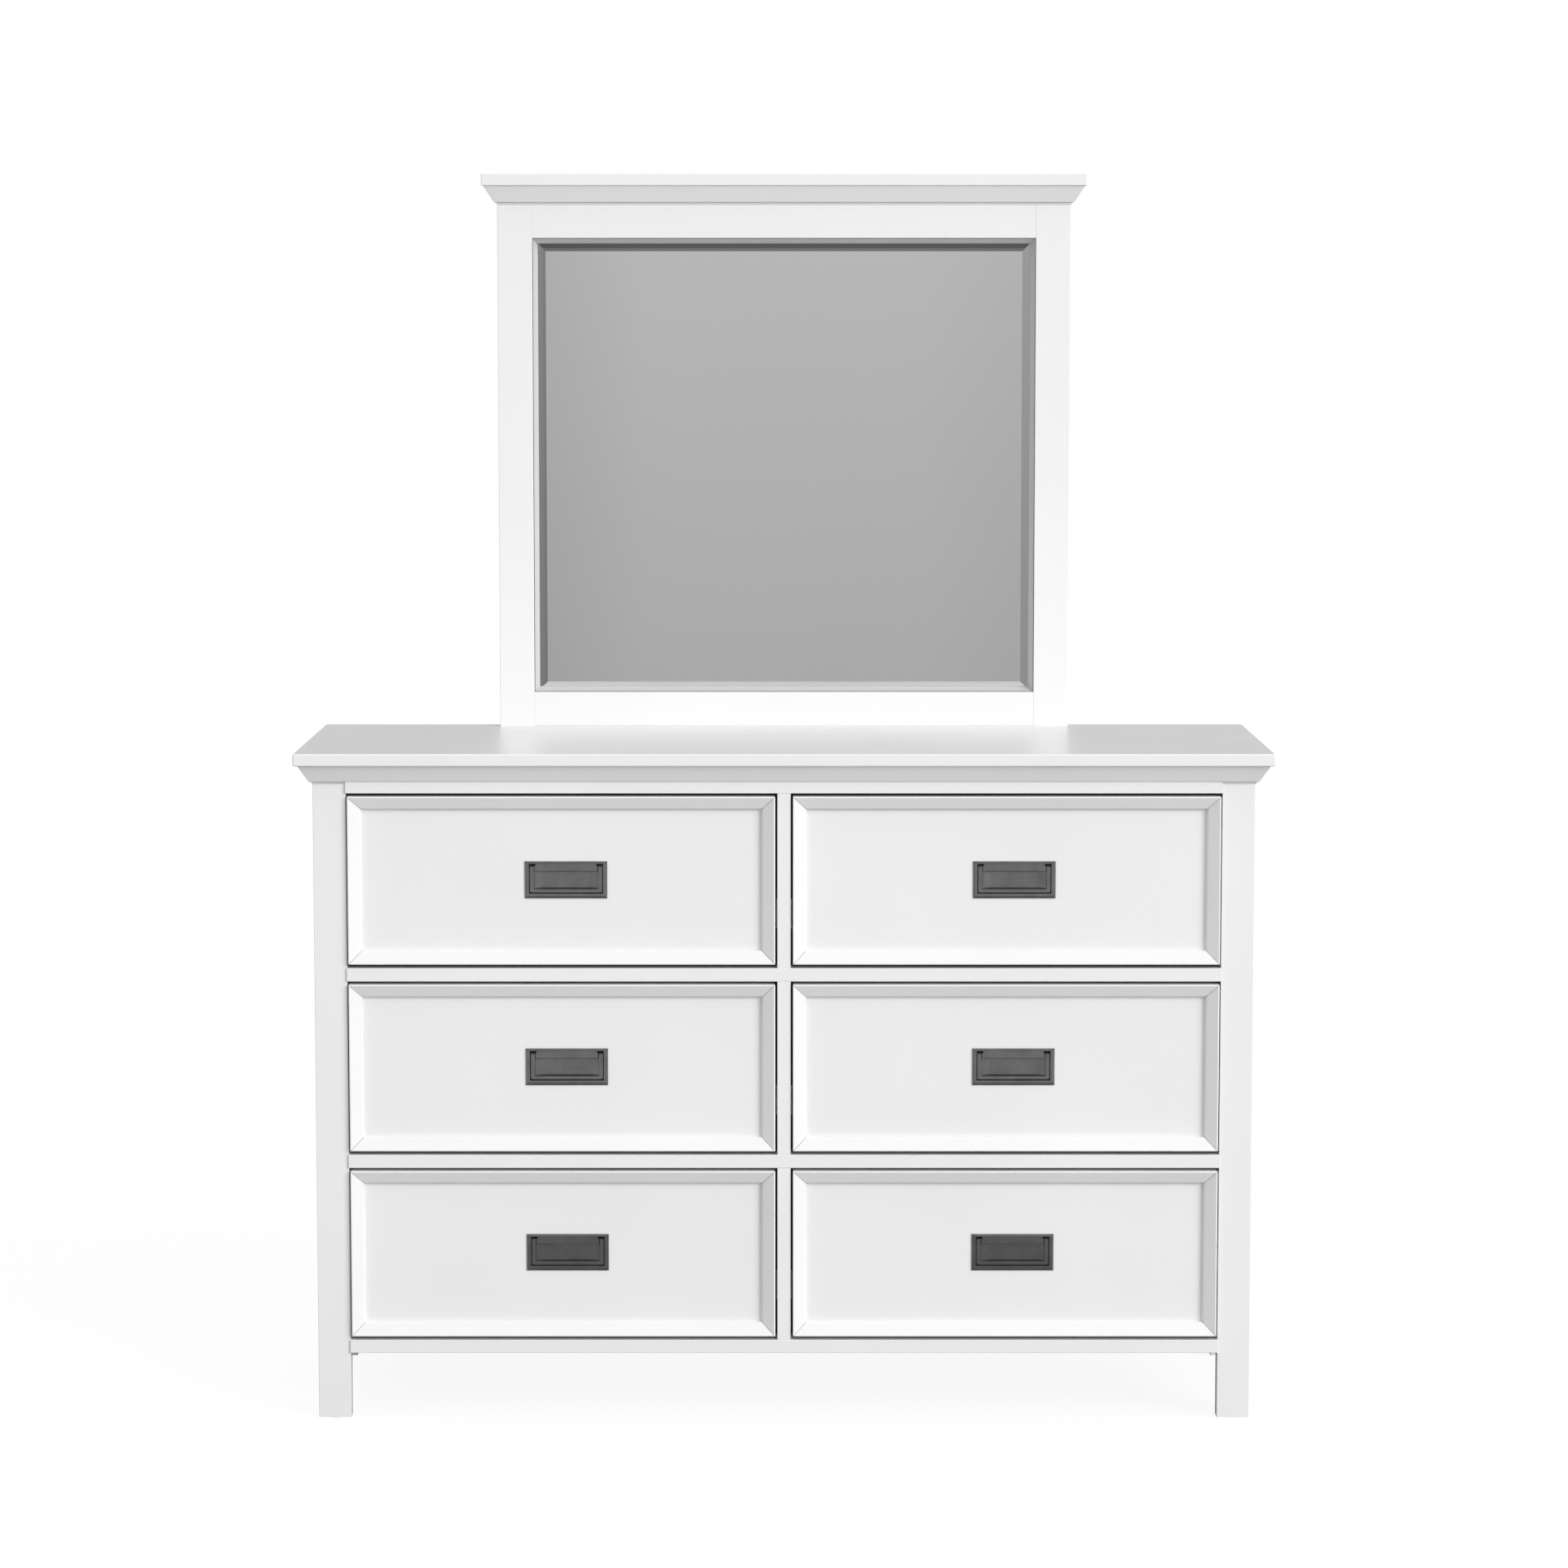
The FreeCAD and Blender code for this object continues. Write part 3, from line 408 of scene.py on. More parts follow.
def turn(centre, radius, first, last, steps):
    """Points of an arc about a centre from one angle to another, in degrees."""
    angle = np.radians(np.linspace(first, last, steps + 1))
    return np.stack([centre[0] + radius * np.cos(angle), centre[1] + radius * np.sin(angle)],
                    axis=-1)


def drawn_in(profile, distance):
    """Move every point of a closed profile inwards, across the line between its neighbours."""
    along = np.roll(profile, -1, axis=0) - np.roll(profile, 1, axis=0)
    along /= np.linalg.norm(along, axis=1, keepdims=True)
    x, y = profile.T
    area = np.sum(x * np.roll(y, -1) - y * np.roll(x, -1))
    inwards = np.sign(area) * np.stack([-along[:, 1], along[:, 0]], axis=-1)
    return profile + distance * inwards


def carried(profile, stations, place):
    """Profile carried along a run; a station is (run, lean, sunk, floor).

    A profile point (across, up) lies at run + lean * across, so a lean of 1 or -1 is a
    45 degree mitre.  sunk draws the profile in, and floor cuts it off from below.
    """
    rows = []
    for run, lean, sunk, floor in stations:
        across, up = drawn_in(profile, sunk).T
        up = np.maximum(up, floor)
        x, y, z = np.broadcast_arrays(*place(run + lean * across, across, up))
        rows.append(np.stack([x, y, z], axis=-1))
    return skin(np.array(rows))


def cornice_profile():
    """Underside, rounded nose, straight slope and upper lip, as (out, up).

    The nose is the arc that touches both the underside and the slope's line.
    """
    lip_up = cornice_height - cornice_upper_lip
    slope = math.atan((cornice_reach - cornice_toe) / lip_up)
    corner = cornice_toe + cornice_quirk * math.tan(slope)
    nose_out = corner - cornice_nose * math.tan(math.pi / 4 - slope / 2)
    eased = cornice_arris
    return np.concatenate([
        [[0.0, cornice_quirk]],
        turn((nose_out, cornice_quirk + cornice_nose), cornice_nose, -90,
             -math.degrees(slope), arc_steps),
        [[cornice_reach - eased * math.sin(slope), lip_up - eased * math.cos(slope)],
         [cornice_reach, lip_up + eased], [cornice_reach, cornice_height - eased],
         [cornice_reach - eased, cornice_height], [0.0, cornice_height]]])


def cornice(half_width, y_face, y_end, z_low, notch):
    """Front length, two side lengths and their sills; notch is (half width, height) or None."""
    profile = cornice_profile()
    sill = np.array([[0.0, 0.0], [cornice_sill_reach, 0.0], [cornice_sill_reach, cornice_sill],
                     [0.0, cornice_sill]])
    stations = [(-half_width + mitre_seam, -1, mitre_groove, 0.0),
                (-half_width + mitre_ease, -1, 0.0, 0.0)]
    if notch:
        half_notch, notch_height = notch
        stations += [(-half_notch, 0, 0.0, 0.0), (-half_notch, 0, 0.0, notch_height),
                     (half_notch, 0, 0.0, notch_height), (half_notch, 0, 0.0, 0.0)]
    stations += [(half_width - mitre_ease, 1, 0.0, 0.0),
                 (half_width - mitre_seam, 1, mitre_groove, 0.0)]

    def along_front(run, out, up):
        return run, y_face - out, z_low + up

    lengths = [carried(profile, stations, along_front)]
    for side in (-1, 1):
        def along_side(run, out, up):
            return side * (half_width + out), run, z_low + up
        lengths.append(carried(
            profile, [(y_end, 0, 0.0, 0.0), (y_face + mitre_ease, -1, 0.0, 0.0),
                      (y_face + mitre_seam, -1, mitre_groove, 0.0)], along_side))
        side_sill = [(y_end, 0, 0.0, 0.0), (y_face, -1, 0.0, 0.0)]
        lengths.append(carried(sill, side_sill, along_side))
        inner = side * notch[0] if notch else 0.0
        front_sill = [(inner, 0, 0.0, 0.0), (side * half_width, side, 0.0, 0.0)]
        lengths.append(carried(sill, front_sill, along_front))
    return lengths


make_piece("top_cornice",
           cornice(half_case, y_stile_face, cornice_high.y, cornice_low.z,
                   (half_opening, cornice_lap)),
           lacquer_level, "root", ["top_moulding"])

# ------------------------------------------------------------------ drawer fronts
# Each front is a flat panel with a picture-frame moulding glued round its edge: a rounded
# outer edge, a long slope inwards and a round nose that drops onto the panel.  The four
# lengths are mitred, and a hairline shows at each mitre.
front_crest = 0.0015              # rounding of the outer edge
front_nose = 0.005                # rounding above the drop
front_slope = 30.0                # degrees between the slope and the panel
front_moulding_width = 0.0195
front_crest_steps = 8
front_mitre_ease = 0.0006
front_mitre_groove = 0.0012
no_floor = -1.0                   # below every point of a profile


def front_profile(depth):
    """Wedge section (inward, depth): crest arc, slope, nose arc and a drop to the panel."""
    slope = math.radians(front_slope)
    nose_in = front_moulding_width - front_nose
    run = nose_in - front_crest + (front_nose - front_crest) * math.sin(slope)
    nose_depth = (front_crest + (front_nose - front_crest) * math.cos(slope)
                  + run * math.tan(slope))
    return np.concatenate([
        [[0.0, depth]],
        turn((front_crest, front_crest), front_crest, 180, 270 + front_slope,
             front_crest_steps),
        turn((nose_in, nose_depth), front_nose, 270 + front_slope, 360, arc_steps),
        [[front_moulding_width, depth]]])


def picture_frame(low, high, profile, ease, groove):
    """Four mitred lengths of a profile (inward, depth) round the front of a box.

    ease and groove are the half width and the depth of the open line at each mitre.
    """
    centre_x, centre_z = (low.x + high.x) / 2, (low.z + high.z) / 2
    half_width, half_height = (high.x - low.x) / 2, (high.z - low.z) / 2
    lengths = []
    for half_run, half_across, level in ((half_width, half_height, True),
                                         (half_height, half_width, False)):
        stations = [(-half_run + mitre_seam, 1, groove, no_floor),
                    (-half_run + ease, 1, 0.0, no_floor),
                    (half_run - ease, -1, 0.0, no_floor),
                    (half_run - mitre_seam, -1, groove, no_floor)]
        for side in (-1, 1):
            def spot(run, inward, depth):
                rise = side * (half_across - inward)
                if level:
                    return centre_x + run, low.y + depth, centre_z + rise
                return centre_x + rise, low.y + depth, centre_z + run
            lengths.append(carried(profile, stations, spot))
    return lengths


for drawer in drawers:
    dress(["drawer_panel_" + drawer], lacquer_level)
    low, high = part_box("drawer_moulding_" + drawer)
    lengths = picture_frame(low, high, front_profile(high.y - low.y), front_mitre_ease,
                            front_mitre_groove)
    make_piece("front_moulding_" + drawer, lengths, lacquer_level, "drawer_" + drawer,
               ["drawer_moulding_" + drawer])

# ------------------------------------------------------------------ drawer boxes
# Sub-front, back and sides of pale hardwood, 12 mm thick, glued and pinned, with a plywood
# bottom let into grooves.  Upper edges are rounded, and the wood is sealed clear.
box_board = 0.012
box_bottom = 0.005
box_bottom_lift = 0.009
box_groove = 0.005
box_rounding = 0.0012
box_rounding_steps = 3
maple_roughness = 0.42
maple_light = (0.80, 0.69, 0.53, 1.0)
maple_dark = (0.66, 0.53, 0.37, 1.0)


def by_grain(tree):
    """Place within a board, with the fibres along the first axis."""
    return add_node(tree, "Attribute", attribute_name="grain_place").outputs["Vector"]


maple = wood("sealed_maple", by_grain, "x", maple_dark, maple_light, maple_roughness)


def drawer_boards(low, high):
    """Sub-front, back, two sides and the bottom of one drawer box."""
    t, inset, floor = box_board, box_board - box_groove, low.z + box_bottom_lift
    corners = [((low.x, low.y, low.z), (high.x, low.y + t, high.z)),
               ((low.x, high.y - t, low.z), (high.x, high.y, high.z)),
               ((low.x, low.y + t, low.z), (low.x + t, high.y - t, high.z)),
               ((high.x - t, low.y + t, low.z), (high.x, high.y - t, high.z)),
               ((low.x + inset, low.y + inset, floor),
                (high.x - inset, high.y - inset, floor + box_bottom))]
    return [rounded_board(a, b, box_rounding, box_rounding_steps) for a, b in corners]


for drawer in drawers:
    make_piece("drawer_boards_" + drawer, drawer_boards(*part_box("drawer_box_" + drawer)), maple,
               "drawer_" + drawer, ["drawer_box_" + drawer], "xxyyx")

# ------------------------------------------------------------------ pull plates
# Campaign pull of cast zinc with satin gunmetal plating: a bevelled plate with a recess for
# the bail, a raised header between the bail's legs and a finger dish pressed in behind it.
# It is let into the panel and screwed from inside the drawer.
plate_bevel_width = 0.003
plate_bevel_drop = 0.0016
plate_corner = 0.0020
plate_flange = 0.003              # plate's face above the panel
plate_wall = 0.0012
plate_side_border = 0.0064
plate_top_border = 0.0038
plate_bottom_border = 0.0072
recess_depth = 0.0048
recess_wall_run = 0.0007
recess_corner = 0.0008
header_end_inset = 0.0076         # recess's end to the header's end
header_height = 0.0108
dish_end_inset = 0.0020
dish_bottom_inset = 0.0028
dish_depth = 0.003
dish_end_run = 0.009              # slopes at its left and right
dish_long_run = 0.001             # walls at its top and bottom
slot_width = 0.0094               # pockets above the bail's ends
slot_height = 0.0023
slot_depth = 0.0072
boss_radius = 0.0035
boss_end_inset = 0.012
bevel_ease = 0.0004               # half widths of the bends
recess_ease = 0.0002
dish_end_ease = 0.003
dish_long_ease = 0.0005
slot_ease = 0.0001
header_overrun = 0.01             # carries the header past the recess's upper wall
plate_grid = 0.003
plate_grid_least = 0.00011        # lines that lie closer are dropped
plate_edge_lines = (0.00025, 0.00045, 0.0007, 0.0011, 0.0016)  # on both sides of an edge
rod_sides = 24
plate_crease = 50.0
gunmetal_light = (0.30, 0.30, 0.302, 1.0)
gunmetal_dark = (0.25, 0.25, 0.252, 1.0)
gunmetal_cast = 0.02
satin_size = (0.012, 0.0004, 0.0004)
satin_relief = 0.000004
gunmetal_roughness = (0.30, 0.38)

gunmetal, tree, shader = new_finish("satin_gunmetal", 1.0)
place = by_object(tree)
satin = pattern(tree, place, satin_size)
cast = pattern(tree, place, (gunmetal_cast,) * 3)
coat(tree, shader, tint(tree, cast, gunmetal_dark, gunmetal_light),
     spread(tree, satin, *gunmetal_roughness), relief(tree, satin, satin_relief))


def inside(across, up, half, low, high, corner):
    """Distance into a rectangle, half wide to each side and from low to high.

    It is the corner's radius, less the distance beyond the rectangle that is smaller by that
    radius all round, or plus the distance into it.
    """
    out_across = np.abs(across) - (half - corner)
    out_up = np.abs(up - (low + high) / 2) - ((high - low) / 2 - corner)
    beyond = np.hypot(np.maximum(out_across, 0.0), np.maximum(out_up, 0.0))
    return corner - beyond - np.minimum(np.maximum(out_across, out_up), 0.0)


def eased_ramp(distance, run, ease):
    """0 before 0, 1 after run and straight between, with both bends rounded over 2 * ease."""
    def lifted(value):
        bent = (value + ease) ** 2 / (4 * ease)
        return np.where(value > ease, value, np.where(value < -ease, 0.0, bent))
    return (lifted(distance) - lifted(distance - run)) / run


def grid_lines(edges, coarse):
    """Grid lines: evenly spaced ones, and close ones round every edge."""
    out = np.array(plate_edge_lines)
    near = np.concatenate([-out, [0.0], out])
    even = np.arange(min(edges), max(edges), coarse)
    lines = np.concatenate([even] + [edge + near for edge in edges])
    lines = np.unique(np.round(lines[(lines >= min(edges)) & (lines <= max(edges))], 6))
    return lines[np.concatenate([[True], np.diff(lines) > plate_grid_least])]


def sheet(depth_of, across, up, centre, y_face):
    """Grid of points at depth_of(across, up) behind the plate's face."""
    across, up = np.meshgrid(across, up)
    x = centre[0] + across
    y = y_face + depth_of(across, up)
    return np.stack([x, y, centre[1] + up], axis=-1)


def plate_surfaces(low, high, centre):
    """Plate as a height field: bevel and recess are eased ramps of the distance in.

    The dish is the product of a ramp from its ends and a ramp from its long sides.
    The back follows the front one wall deeper, and the flange's edge joins the two.
    """
    half, rise = (high.x - low.x) / 2, (high.z - low.z) / 2
    recess = (half - plate_side_border, plate_bottom_border - rise, rise - plate_top_border)
    header_half = recess[0] - header_end_inset
    header_low = recess[2] - header_height
    dish_half = header_half - dish_end_inset
    dish_low = recess[1] + dish_bottom_inset

    def front(across, up):
        rim = inside(across, up, half, -rise, rise, plate_corner)
        well = inside(across, up, *recess, recess_corner)
        header = inside(across, up, header_half, header_low, recess[2] + header_overrun,
                        recess_corner)
        dish_end = dish_half - np.abs(across)
        dish_long = (header_low - dish_low) / 2 - np.abs(up - (header_low + dish_low) / 2)
        bevel = 1.0 - eased_ramp(rim, plate_bevel_width, bevel_ease)
        sunk = eased_ramp(np.minimum(well, -header), recess_wall_run, recess_ease)
        dished = (eased_ramp(dish_end, dish_end_run, dish_end_ease)
                  * eased_ramp(dish_long, dish_long_run, dish_long_ease))
        slot = inside(np.abs(across) - (recess[0] - slot_width / 2), up, slot_width / 2,
                      recess[2] - slot_height, recess[2], recess_corner / 2)
        return (plate_bevel_drop * bevel + recess_depth * sunk + dish_depth * dished
                + slot_depth * eased_ramp(slot, recess_wall_run / 2, slot_ease))

    def back(across, up):
        pan = inside(across, up, recess[0] + plate_wall, recess[1] - plate_wall,
                     recess[2] + plate_wall, recess_corner)
        deep = front(across, up) + plate_wall
        floor = np.maximum(deep, np.where(pan > 0, recess_depth + plate_wall, 0.0))
        return np.maximum(plate_flange, floor)

    across = grid_lines([-half, -half + plate_bevel_width, -recess[0], slot_width - recess[0],
                         -header_half, -dish_half,
                         -dish_half + dish_end_run, dish_half - dish_end_run, dish_half,
                         header_half, recess[0] - slot_width, recess[0],
                         half - plate_bevel_width, half], plate_grid)
    up = grid_lines([-rise, -rise + plate_bevel_width, recess[1], dish_low,
                     dish_low + dish_long_run, header_low - dish_long_run, header_low,
                     recess[2] - slot_height, recess[2], rise - plate_bevel_width, rise],
                    plate_grid)
    face = sheet(front, across, up, centre, low.y)
    rear = sheet(back, across, up, centre, low.y)
    rows, columns = face.shape[:2]
    index = np.arange(2 * rows * columns).reshape(2, rows, columns)
    quads = []
    for layer in index:
        quads.append(np.stack([layer[:-1, :-1], layer[:-1, 1:], layer[1:, 1:], layer[1:, :-1]],
                              axis=-1).reshape(-1, 4))
    rim = [np.concatenate([layer[0, :-1], layer[:-1, -1], layer[-1, :0:-1], layer[:0:-1, 0]])
           for layer in index]
    quads.append(np.stack([rim[0], np.roll(rim[0], -1), np.roll(rim[1], -1), rim[1]], axis=-1))
    points = np.concatenate([face.reshape(-1, 3), rear.reshape(-1, 3)])
    return [(points, quads)]


def rod(axis, start, end, radius, sides=rod_sides):
    """Cylinder along X or Y: one circle of points about each end."""
    angle = np.linspace(0.0, 2 * math.pi, sides, endpoint=False)
    ring = np.zeros((sides, 3))
    ring[:, 0 if axis == "y" else 1] = radius * np.cos(angle)
    ring[:, 2] = radius * np.sin(angle)
    return skin(np.stack([ring + np.array(start), ring + np.array(end)]))


for drawer in drawers:
    low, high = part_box("pull_plate_" + drawer)
    centre = ((low.x + high.x) / 2, (low.z + high.z) / 2)
    header_middle = high.z - plate_top_border - header_height / 2
    boss_out = (high.x - low.x) / 2 - plate_side_border - header_end_inset - boss_end_inset
    surfaces = plate_surfaces(low, high, centre)
    for side in (-1, 1):
        boss_x = centre[0] + side * boss_out
        surfaces.append(rod("y", (boss_x, low.y + plate_flange, header_middle),
                            (boss_x, high.y, header_middle), boss_radius))
    make_piece("pull_casting_" + drawer, surfaces, gunmetal, "drawer_" + drawer,
               ["pull_plate_" + drawer], crease=plate_crease)

# ------------------------------------------------------------------ bails
# Cast handle that swings out of the plate on two pins: two flat legs, a lower bar and round
# upper ends, with soft edges from tumbling before plating.
bail_leg = 0.0066
bail_bar = 0.0057
bail_thickness = 0.004
bail_edge = 0.001
bail_outer_corner = 0.0026
bail_inner_corner = 0.0012
bail_pin_radius = 0.00125
bail_pin_length = 0.004
bail_edge_steps = 4
bail_end_turn = 88.0              # degrees of the round upper end; 90 would end in a line
bail_end_rows, bail_corner_rows = 8, 9
bail_crease = 60.0


def bail_section(steps=bail_edge_steps):
    """Rounded section: (share across the leg, distance behind the front face), closed."""
    half = bail_leg / 2
    ring = np.concatenate([
        turn((half - bail_edge, bail_thickness - bail_edge), bail_edge, 0, 90, steps),
        turn((bail_edge - half, bail_thickness - bail_edge), bail_edge, 90, 180, steps),
        turn((bail_edge - half, bail_edge), bail_edge, 180, 270, steps),
        turn((half - bail_edge, bail_edge), bail_edge, 270, 360, steps)])
    return (ring[:, 0] + half) / bail_leg, ring[:, 1]


def bail_surfaces(low, high):
    """U-shaped bar: every point of the section follows its own U between inner and outer line.

    Share 0 lies on the inner line and 1 on the outer, and the corner's radius runs between
    theirs too.  Above the pins the section closes over a half circle.
    """
    share, depth = bail_section()
    centre_x = (low.x + high.x) / 2
    axis_z = high.z - bail_thickness / 2
    reach = (high.x - low.x) / 2 - bail_leg * (1 - share)
    bottom = low.z + bail_bar * (1 - share)
    corner = bail_inner_corner + (bail_outer_corner - bail_inner_corner) * share
    rows = []
    for angle in np.radians(np.linspace(bail_end_turn, 0.0, bail_end_rows)):
        middle = bail_thickness / 2
        rows.append((reach, middle + (depth - middle) * math.cos(angle),
                     axis_z + middle * math.sin(angle) + 0 * share))
    for angle in np.radians(np.linspace(0.0, 90.0, bail_corner_rows)):
        rows.append((reach - corner * (1 - math.cos(angle)), depth,
                     bottom + corner * (1 - math.sin(angle))))
    right = np.array([np.stack(row, axis=-1) for row in rows])
    left = right[::-1] * np.array([-1.0, 1.0, 1.0])
    path = np.concatenate([right, left]) + np.array([centre_x, low.y, 0.0])
    surfaces = [skin(path)]
    pin_y = low.y + bail_thickness / 2
    for side in (-1, 1):
        inner = centre_x + side * ((high.x - low.x) / 2 - bail_leg)
        surfaces.append(rod("x", (inner + side * bail_leg / 2, pin_y, axis_z),
                            (inner - side * bail_pin_length, pin_y, axis_z), bail_pin_radius))
    return surfaces


for drawer in drawers:
    make_piece("bail_cast_" + drawer, bail_surfaces(*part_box("bail_" + drawer)), gunmetal,
               "handle_" + drawer, ["bail_" + drawer], crease=bail_crease)

# ------------------------------------------------------------------ mirror frame and beads
# Two stiles and two rails stand on the top board, lacquered like the case.  Four mitred
# beads with a steep, slightly hollow slope hold the glass, a narrow quirk away from the
# frame.  The beads' white is painted greyer as painted shade: it stands for the shade that
# falls on them in the rebate, not for a different colour of lacquer.
bead_width = 0.0075
bead_toe = 0.0015                 # straight inner edge that bears on the glass
bead_hollow = 0.0006
bead_quirk = 0.001
bead_quirk_depth = 0.005
bead_groove = 0.0003
bead_steps = 10
# painted shade: the beads' white darkened to stand for the shade in the rebate
bead_painted_shade_grey = (0.64, 0.64, 0.637, 1.0)
dress(["mirror_stiles", "mirror_supports"], lacquer_upright)
dress(["mirror_rails"], lacquer_level)


def bead_profile(depth):
    """Quirk, chord to the toe sunk by a parabola, then straight to the glass."""
    share = np.linspace(0.0, 1.0, bead_steps + 1)
    width, drop = bead_width - bead_quirk, depth - bead_toe
    slant = math.hypot(width, drop)
    sunk = 4 * bead_hollow * share * (1 - share)
    slope = np.stack([bead_quirk + width * share - sunk * drop / slant,
                      drop * share + sunk * width / slant], axis=-1)
    return np.concatenate([[[0.0, bead_quirk_depth], [bead_quirk, bead_quirk_depth]], slope,
                           [[bead_width, depth], [0.0, depth]]])


# painted shade: an even grey in place of the white, for the shade the beads lie in
bead_painted_shade_lacquer = lacquer("white_lacquer_beads_painted_shade", "x", bead_painted_shade_grey, bead_painted_shade_grey)
low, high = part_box("mirror_sticking")
lengths = picture_frame(low, high, bead_profile(high.y - low.y), mitre_ease, bead_groove)
make_piece("mirror_beads", lengths, bead_painted_shade_lacquer, "root", ["mirror_sticking"])

# ------------------------------------------------------------------ mirror glass
# Float glass, ground with a wide flat bevel, polished and silvered on the back.  It stands in
# the frame before a backing board, and the beads hold it in.
bevel_width = 0.0168
bevel_drop = 0.00172
bevel_narrowing = 0.005           # how much narrower the lower bevel is ground
polished = 0.0024                 # half the strip between the flat and the bevel
glass_crease = 1.0
silver_light = (0.868, 0.868, 0.868, 1.0)
silver_dark = (0.858, 0.858, 0.858, 1.0)
silver_haze = 0.35
wiped_size = (0.02, 0.02, 0.006)
glass_roughness = (0.0, 0.02)

silvered, tree, shader = new_finish("silvered_glass", 1.0)
place = by_object(tree)
haze = pattern(tree, place, (silver_haze,) * 3)
wiped = pattern(tree, place, wiped_size, detail=3.0)
coat(tree, shader, tint(tree, haze, silver_dark, silver_light),
     spread(tree, wiped, *glass_roughness))


def glass_rows(low, high):
    """Rectangles from the back to the front: edge, bevel, a strip at half slope, flat face."""
    insets = np.array([0.0, 0.0, bevel_width - polished, bevel_width + polished])
    fall = bevel_drop * polished / bevel_width
    behind = np.array([high.y - low.y, bevel_drop, fall, 0.0])
    left, right, top = low.x + insets, high.x - insets, high.z - insets
    bottom = low.z + insets - np.where(insets > 0, bevel_narrowing, 0.0)
    x = np.stack([right, left, left, right], axis=-1)
    z = np.stack([top, top, bottom, bottom], axis=-1)
    return np.stack([x, low.y + behind[:, None] + 0 * x, z], axis=-1)


make_piece("mirror_plate", [skin(glass_rows(*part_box("mirror_glass")))], silvered, "root",
           ["mirror_glass"], crease=glass_crease)

# ------------------------------------------------------------------ head of the mirror
# The same cornice in three mitred lengths round the frame's head, under a cap board
# with rounded edges.
cap_rounding = 0.0015
head_low, head_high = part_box("mirror_moulding")
make_piece("head_cornice",
           cornice(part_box("mirror_stiles")[1].x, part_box("mirror_stiles")[0].y, head_high.y,
                   head_low.z, None),
           lacquer_level, "root", ["mirror_moulding"])
make_piece("cap_board", [rounded_board(*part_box("mirror_cap"), cap_rounding)],
           lacquer_level, "root", ["mirror_cap"])

# ------------------------------------------------------------------ floor
# Plain white studio floor.  The camera sees it nearly white with the shadow kept faint.
# Metal and the mirror see it white far out and greyer near the dresser, and to other light it
# is a pale grey that throws back little.
floor_radius = 6.0
floor_corners = 96
floor_grey = 0.385
seen_near, seen_far = 1.2, 3.2    # metres out, between which the seen floor turns white
seen_glow = 0.91                  # the near floor's own white, beside the share that shades
seen_shade = 0.11
mirrored_near, mirrored_far = 1.4, 3.0
mirrored_low, mirrored_high = 0.20, 0.93

studio_floor = bpy.data.materials.new("studio_floor")
studio_floor.use_nodes = True
tree = studio_floor.node_tree
tree.nodes.clear()


def blend(tree, value, low, high, at_low, at_high):
    """Smooth change from at_low to at_high while the value runs from low to high."""
    mapped = add_node(tree, "MapRange", [("Value", value), ("From Min", low),
                                         ("From Max", high), ("To Min", at_low),
                                         ("To Max", at_high)],
                      interpolation_type="SMOOTHSTEP")
    return mapped.outputs["Result"]


def in_gloss(tree, path):
    """1 on rays that a shine or a mirror sends out before any dull surface, else 0."""
    direct = calculate(tree, "LESS_THAN", path.outputs["Diffuse Depth"], 0.5)
    return calculate(tree, "MULTIPLY", path.outputs["Is Glossy Ray"], direct)


path = add_node(tree, "LightPath")
seen = calculate(tree, "MAXIMUM", path.outputs["Is Camera Ray"],
                 path.outputs["Is Transmission Ray"])
distance = add_node(tree, "VectorMath", [(0, by_object(tree))], operation="LENGTH")
far_out = distance.outputs["Value"]
glow = blend(tree, far_out, seen_near, seen_far, seen_glow, 1.0)
shade = blend(tree, far_out, seen_near, seen_far, seen_shade, 0.0)
glowing = add_node(tree, "Emission", [("Strength", glow)])
shadowed = add_node(tree, "BsdfDiffuse", [("Color", shade)])
white = add_node(tree, "AddShader", [(0, glowing.outputs[0]), (1, shadowed.outputs[0])])
shine = blend(tree, far_out, mirrored_near, mirrored_far, mirrored_low, mirrored_high)
mirrored = add_node(tree, "Emission", [("Strength", shine)])
grey = add_node(tree, "BsdfDiffuse", [("Color", (floor_grey, floor_grey, floor_grey, 1.0))])
unseen = add_node(tree, "MixShader", [(0, in_gloss(tree, path)), (1, grey.outputs[0]),
                                      (2, mirrored.outputs[0])])
mixed = add_node(tree, "MixShader", [(0, seen), (1, unseen.outputs[0]),
                                     (2, white.outputs[0])])
add_node(tree, "OutputMaterial", [("Surface", mixed.outputs[0])])

angle = np.linspace(0.0, 2 * math.pi, floor_corners, endpoint=False)
disc = floor_radius * np.stack([np.cos(angle), np.sin(angle), 0 * angle], axis=-1)
floor_mesh = bpy.data.meshes.new("floor")
floor_mesh.from_pydata(disc, [], [list(range(len(disc)))])
floor_mesh.materials.append(studio_floor)
floor = bpy.data.objects.new("floor", floor_mesh)
bpy.context.scene.collection.objects.link(floor)

# ------------------------------------------------------------------ light and surroundings
# One large soft lamp from the front right, and soft light from all round that is strongest
# from above.  What the metal and the mirror see is a dim room behind the viewer, palest low
# down, straight ahead and to the right, and a dark sweep behind the dresser.
lamp_distance = 30.0
lamp_side = 16.0
lamp_azimuth = math.radians(49.0)
lamp_elevation = math.radians(20.0)
lamp_power = 6400.0
aim = np.array([0.0, 0.0, 0.95])
ambient_level, ambient_above, ambient_behind = 0.515, 0.36, -0.11
room_across = [(-1.0, 0.60), (-0.45, 0.60), (-0.30, 0.46), (-0.15, 0.40), (-0.03, 0.92),
               (0.03, 0.92), (0.15, 0.62), (0.30, 0.62), (0.45, 1.0), (1.0, 1.0)]
room_upwards = [(-1.0, 0.95), (-0.20, 0.95), (-0.13, 0.50), (-0.08, 0.50), (0.02, 0.60),
                (0.03, 0.60), (0.10, 0.24), (0.16, 0.12), (0.30, 0.12), (0.55, 0.78),
                (1.0, 0.78)]
sweep_start, sweep_full, sweep_level = -0.2, 0.3, 0.15
backdrop_level = 1.0              # plain white, as the camera sees it

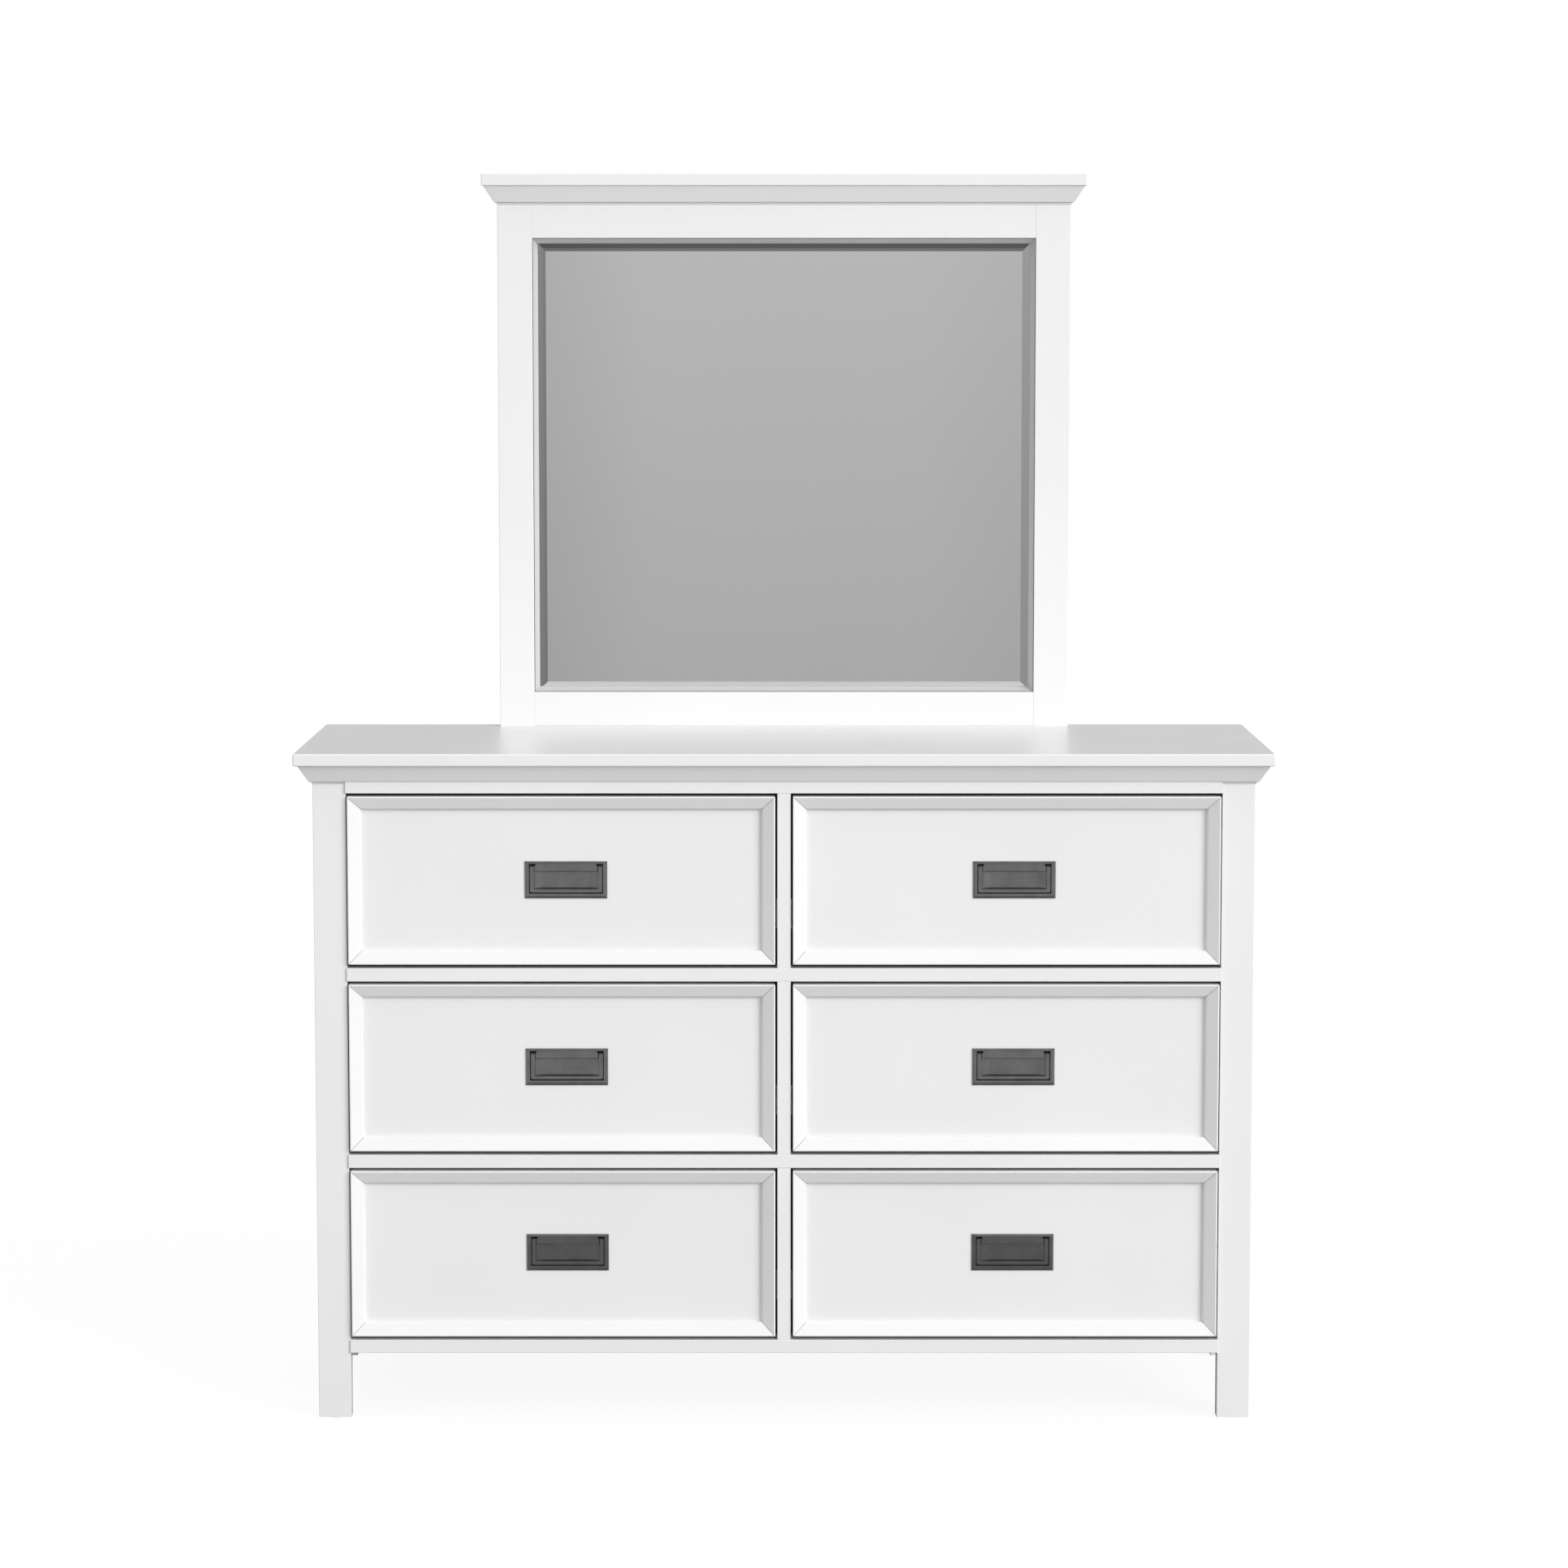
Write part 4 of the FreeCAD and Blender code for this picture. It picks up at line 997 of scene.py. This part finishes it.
lamp_data = bpy.data.lights.new("soft_lamp", "AREA")
lamp_data.shape = "SQUARE"
lamp_data.size = lamp_side
lamp_data.energy = lamp_power
lamp = bpy.data.objects.new("soft_lamp", lamp_data)
bpy.context.scene.collection.objects.link(lamp)
level_share = math.cos(lamp_elevation)
towards_lamp = np.array([math.sin(lamp_azimuth) * level_share,
                         -math.cos(lamp_azimuth) * level_share, math.sin(lamp_elevation)])
lamp.location = aim + lamp_distance * towards_lamp
lamp.rotation_euler = (math.pi / 2 - lamp_elevation, 0.0, lamp_azimuth)
lamp.visible_glossy = False

world = bpy.data.worlds.new("studio")
bpy.context.scene.world = world
world.use_nodes = True
tree = world.node_tree
tree.nodes.clear()


def graded(tree, value, stops):
    """Level that runs straight between stops (value, level); values lie between -1 and 1."""
    share = add_node(tree, "MapRange", [("Value", value), ("From Min", -1.0)])
    ramp = add_node(tree, "ValToRGB", [("Fac", share.outputs["Result"])])
    elements = ramp.color_ramp.elements
    elements[0].position, elements[1].position = 0.0, 1.0
    for at, _ in stops[1:-1]:
        elements.new((at + 1) / 2)
    for element, (_, level) in zip(elements, stops):
        element.color = (level, level, level, 1.0)
    return ramp.outputs["Color"]


direction = add_node(tree, "SeparateXYZ",
                     [(0, add_node(tree, "TexCoord").outputs["Generated"])])
to_x, to_y, to_z = direction.outputs
path = add_node(tree, "LightPath")
ambient = calculate(tree, "MULTIPLY_ADD", to_z, ambient_above, ambient_level)
ambient = calculate(tree, "MULTIPLY_ADD", to_y, ambient_behind, ambient)
room = calculate(tree, "MULTIPLY", graded(tree, to_x, room_across),
                 graded(tree, to_z, room_upwards))
reflected = blend(tree, to_y, sweep_start, sweep_full, room, sweep_level)
light = add_node(tree, "Mix", [(0, in_gloss(tree, path)), (2, ambient), (3, reflected)])
light = add_node(tree, "Mix", [(0, path.outputs["Is Camera Ray"]), (2, light.outputs[0]),
                               (3, backdrop_level)])
background = add_node(tree, "Background", [("Color", light.outputs[0])])
add_node(tree, "OutputWorld", [("Surface", background.outputs[0])])

# ------------------------------------------------------------------ camera
# Long lens on a stand in front of the dresser, at eye height, looking a little down on the
# top board.
camera_lens = 103.07
camera_sensor = 36.0
camera_away = 6.7015              # from the middle of the floor
camera_height = 1.6085
camera_down = 5.909               # degrees below level

camera_data = bpy.data.cameras.new("camera")
camera_data.lens = camera_lens
camera_data.sensor_width = camera_sensor
camera = bpy.data.objects.new("camera", camera_data)
bpy.context.scene.collection.objects.link(camera)
camera.location = (0.0, -camera_away, camera_height)
camera.rotation_euler = (math.radians(90.0 - camera_down), 0.0, 0.0)
bpy.context.scene.camera = camera
bpy.context.scene.view_settings.view_transform = "Standard"
